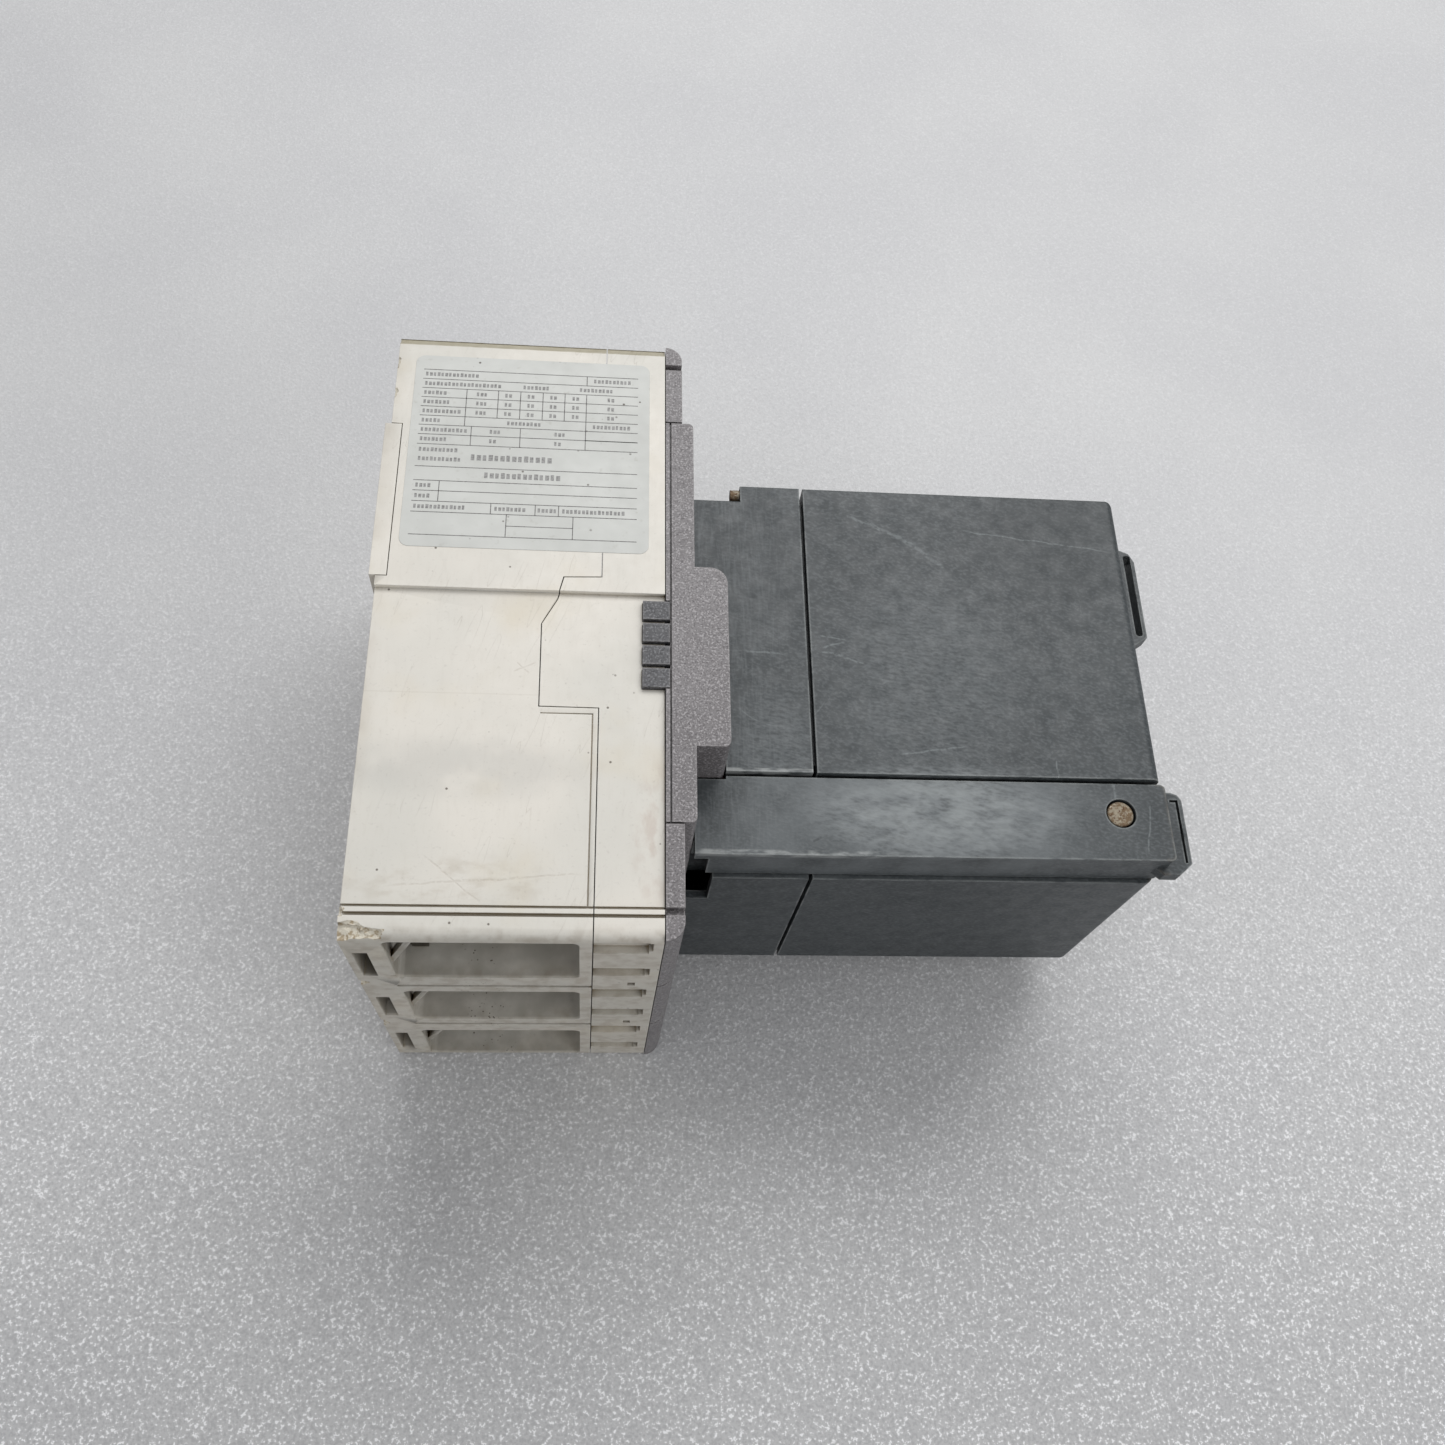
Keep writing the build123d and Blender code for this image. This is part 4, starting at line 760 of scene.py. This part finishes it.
# ---- base case with its broken corner and nicked rear edge -----------------------------------
BROKEN = broken_plastic()
BIG_BITE = 3  # bites with a larger radius, in millimetres, get a finer mesh
WELD = 0.001  # millimetres
SHARP_ANGLE = 24  # degrees
BITES = (
    # centre, radii, seed
    ((2.2, -74.4, 53.0), (6.0, 2.8, 2.3), 1),
    ((7.6, -74.6, 53.2), (4.6, 2.2, 1.9), 2),
    ((3.6, -72.6, 53.3), (3.0, 1.5, 1.4), 3),
    ((0.9, -69.2, 53.0), (1.5, 1.7, 1.5), 4),
    ((1.0, -63.4, 52.8), (1.1, 2.4, 1.0), 5),
    ((1.0, -55.0, 52.9), (1.0, 1.3, 1.2), 6),
    ((0.9, -38.0, 52.8), (1.1, 1.0, 1.1), 7),
    ((0.9, -22.5, 52.8), (0.9, 2.6, 0.9), 8),
    ((1.0, 57.5, 52.9), (1.2, 1.7, 1.2), 9),
    ((1.0, 66.5, 52.8), (1.0, 2.2, 1.0), 10),
    ((1.2, -75.4, 20.0), (2.2, 1.3, 2.0), 11),
    ((1.2, -75.4, -16.5), (1.8, 1.2, 2.6), 12),
)


def bite_cutter():
    """Lumpy balls that break pieces out of the case."""
    cutter = bmesh.new()
    for centre, radii, seed in BITES:
        fineness = 4 if max(radii) > BIG_BITE else 3
        ball = bmesh.ops.create_icosphere(cutter, subdivisions=fineness, radius=1.0)
        for vertex in ball["verts"]:
            away = vertex.co.normalized()
            lump = noise.noise(away * 1.7 + Vector((seed, 0, 0))) * 0.35
            crumb = noise.noise(away * 6.0 + Vector((0, seed, 0))) * 0.14
            reach = 1 + lump + crumb
            vertex.co = Vector([c + r * a * reach for c, r, a in zip(centre, radii, away)]) * MM
    for face in cutter.faces:
        face.material_index = 1
    data = bpy.data.meshes.new("bite_cutter")
    cutter.to_mesh(data)
    cutter.free()
    return bpy.data.objects.new("bite_cutter", data)


whole = bmesh.new()
whole.from_mesh(NODES["base_case"].data)
bmesh.ops.remove_doubles(whole, verts=whole.verts, dist=WELD * MM)
shell = bpy.data.meshes.new("case_shell")
whole.to_mesh(shell)
whole.free()
case_piece = bpy.data.objects.new("case_shell", shell)
cutter = bite_cutter()
for item in (case_piece, cutter):
    bpy.context.scene.collection.objects.link(item)
    item.data.materials.append(CASE)
    item.data.materials.append(BROKEN)
bites = case_piece.modifiers.new("bites", "BOOLEAN")
bites.operation = "DIFFERENCE"
bites.solver = "EXACT"
bites.use_self = True  # the balls overlap one another
bites.object = cutter
bpy.context.view_layer.update()
bitten_case = case_piece.evaluated_get(bpy.context.evaluated_depsgraph_get())
bitten = bpy.data.meshes.new_from_object(bitten_case)
case_piece.modifiers.clear()
case_piece.data = bitten
bpy.data.objects.remove(cutter)
bitten.polygons.foreach_set("use_smooth", [True] * len(bitten.polygons))
bitten.set_sharp_from_angle(angle=math.radians(SHARP_ANGLE))
even = case_piece.modifiers.new("even_shading", "WEIGHTED_NORMAL")
even.keep_sharp = True
even.weight = 80
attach(case_piece, "breaker")
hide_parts("base_case")


# ---- floor, light and camera -----------------------------------------------------------------
FLOOR = cad_box[0][2] / MM
FLOOR_REACH = 2500
ground = bmesh.new()
bmesh.ops.create_grid(ground, x_segments=1, y_segments=1, size=FLOOR_REACH)
for vertex in ground.verts:
    vertex.co.z = FLOOR
    vertex.co *= MM
ground_data = bpy.data.meshes.new("floor")
ground.to_mesh(ground_data)
ground.free()
floor = bpy.data.objects.new("floor", ground_data)
bpy.context.scene.collection.objects.link(floor)
ground_data.materials.append(floor_foam())

world = bpy.data.worlds.new("studio")
bpy.context.scene.world = world
world.use_nodes = True
backdrop = world.node_tree.nodes["Background"]
backdrop.inputs["Color"].default_value = (0.96, 0.97, 1.0, 1.0)
backdrop.inputs["Strength"].default_value = 0.4


def softbox(name, place, target, size, power):
    """A rectangular soft light, placed in metres and turned to a target."""
    lamp = bpy.data.lights.new(name, "AREA")
    lamp.shape = "RECTANGLE"
    lamp.size, lamp.size_y = size
    lamp.energy = power
    light = bpy.data.objects.new(name, lamp)
    light.location = place
    light.rotation_euler = (Vector(target) - Vector(place)).to_track_quat("-Z", "Y").to_euler()
    bpy.context.scene.collection.objects.link(light)


softbox("key", (0.33, 0.78, 1.08), (0.08, 0.0, 0.0), (1.2, 0.7), 11.6)
softbox("left", (-0.9, -0.1, 0.9), (0.08, 0.0, 0.0), (0.8, 0.8), 1.2)
softbox("near", (0.7, -0.6, 0.55), (0.14, -0.1, 0.0), (0.8, 0.6), 2.4)

# the camera's axes and place in metres, at the photograph's viewing angle
CAMERA_PLACE = Vector((0.050689, -0.151268, 0.309590))
CAMERA_RIGHT = Vector((0.99541, -0.01855, 0.09392))
CAMERA_UP = Vector((-0.02412, 0.90078, 0.43361))
CAMERA_BACK = Vector((-0.09264, -0.43388, 0.89619))
lens = bpy.data.cameras.new("camera")
lens.sensor_width = 36.0
lens.lens = 33.5
lens.clip_start = 0.01
camera = bpy.data.objects.new("camera", lens)
turn = Matrix((CAMERA_RIGHT, CAMERA_UP, CAMERA_BACK)).transposed()
camera.matrix_world = Matrix.Translation(CAMERA_PLACE) @ turn.to_4x4()
bpy.context.scene.collection.objects.link(camera)
bpy.context.scene.camera = camera
bpy.context.scene.view_settings.view_transform = "Standard"
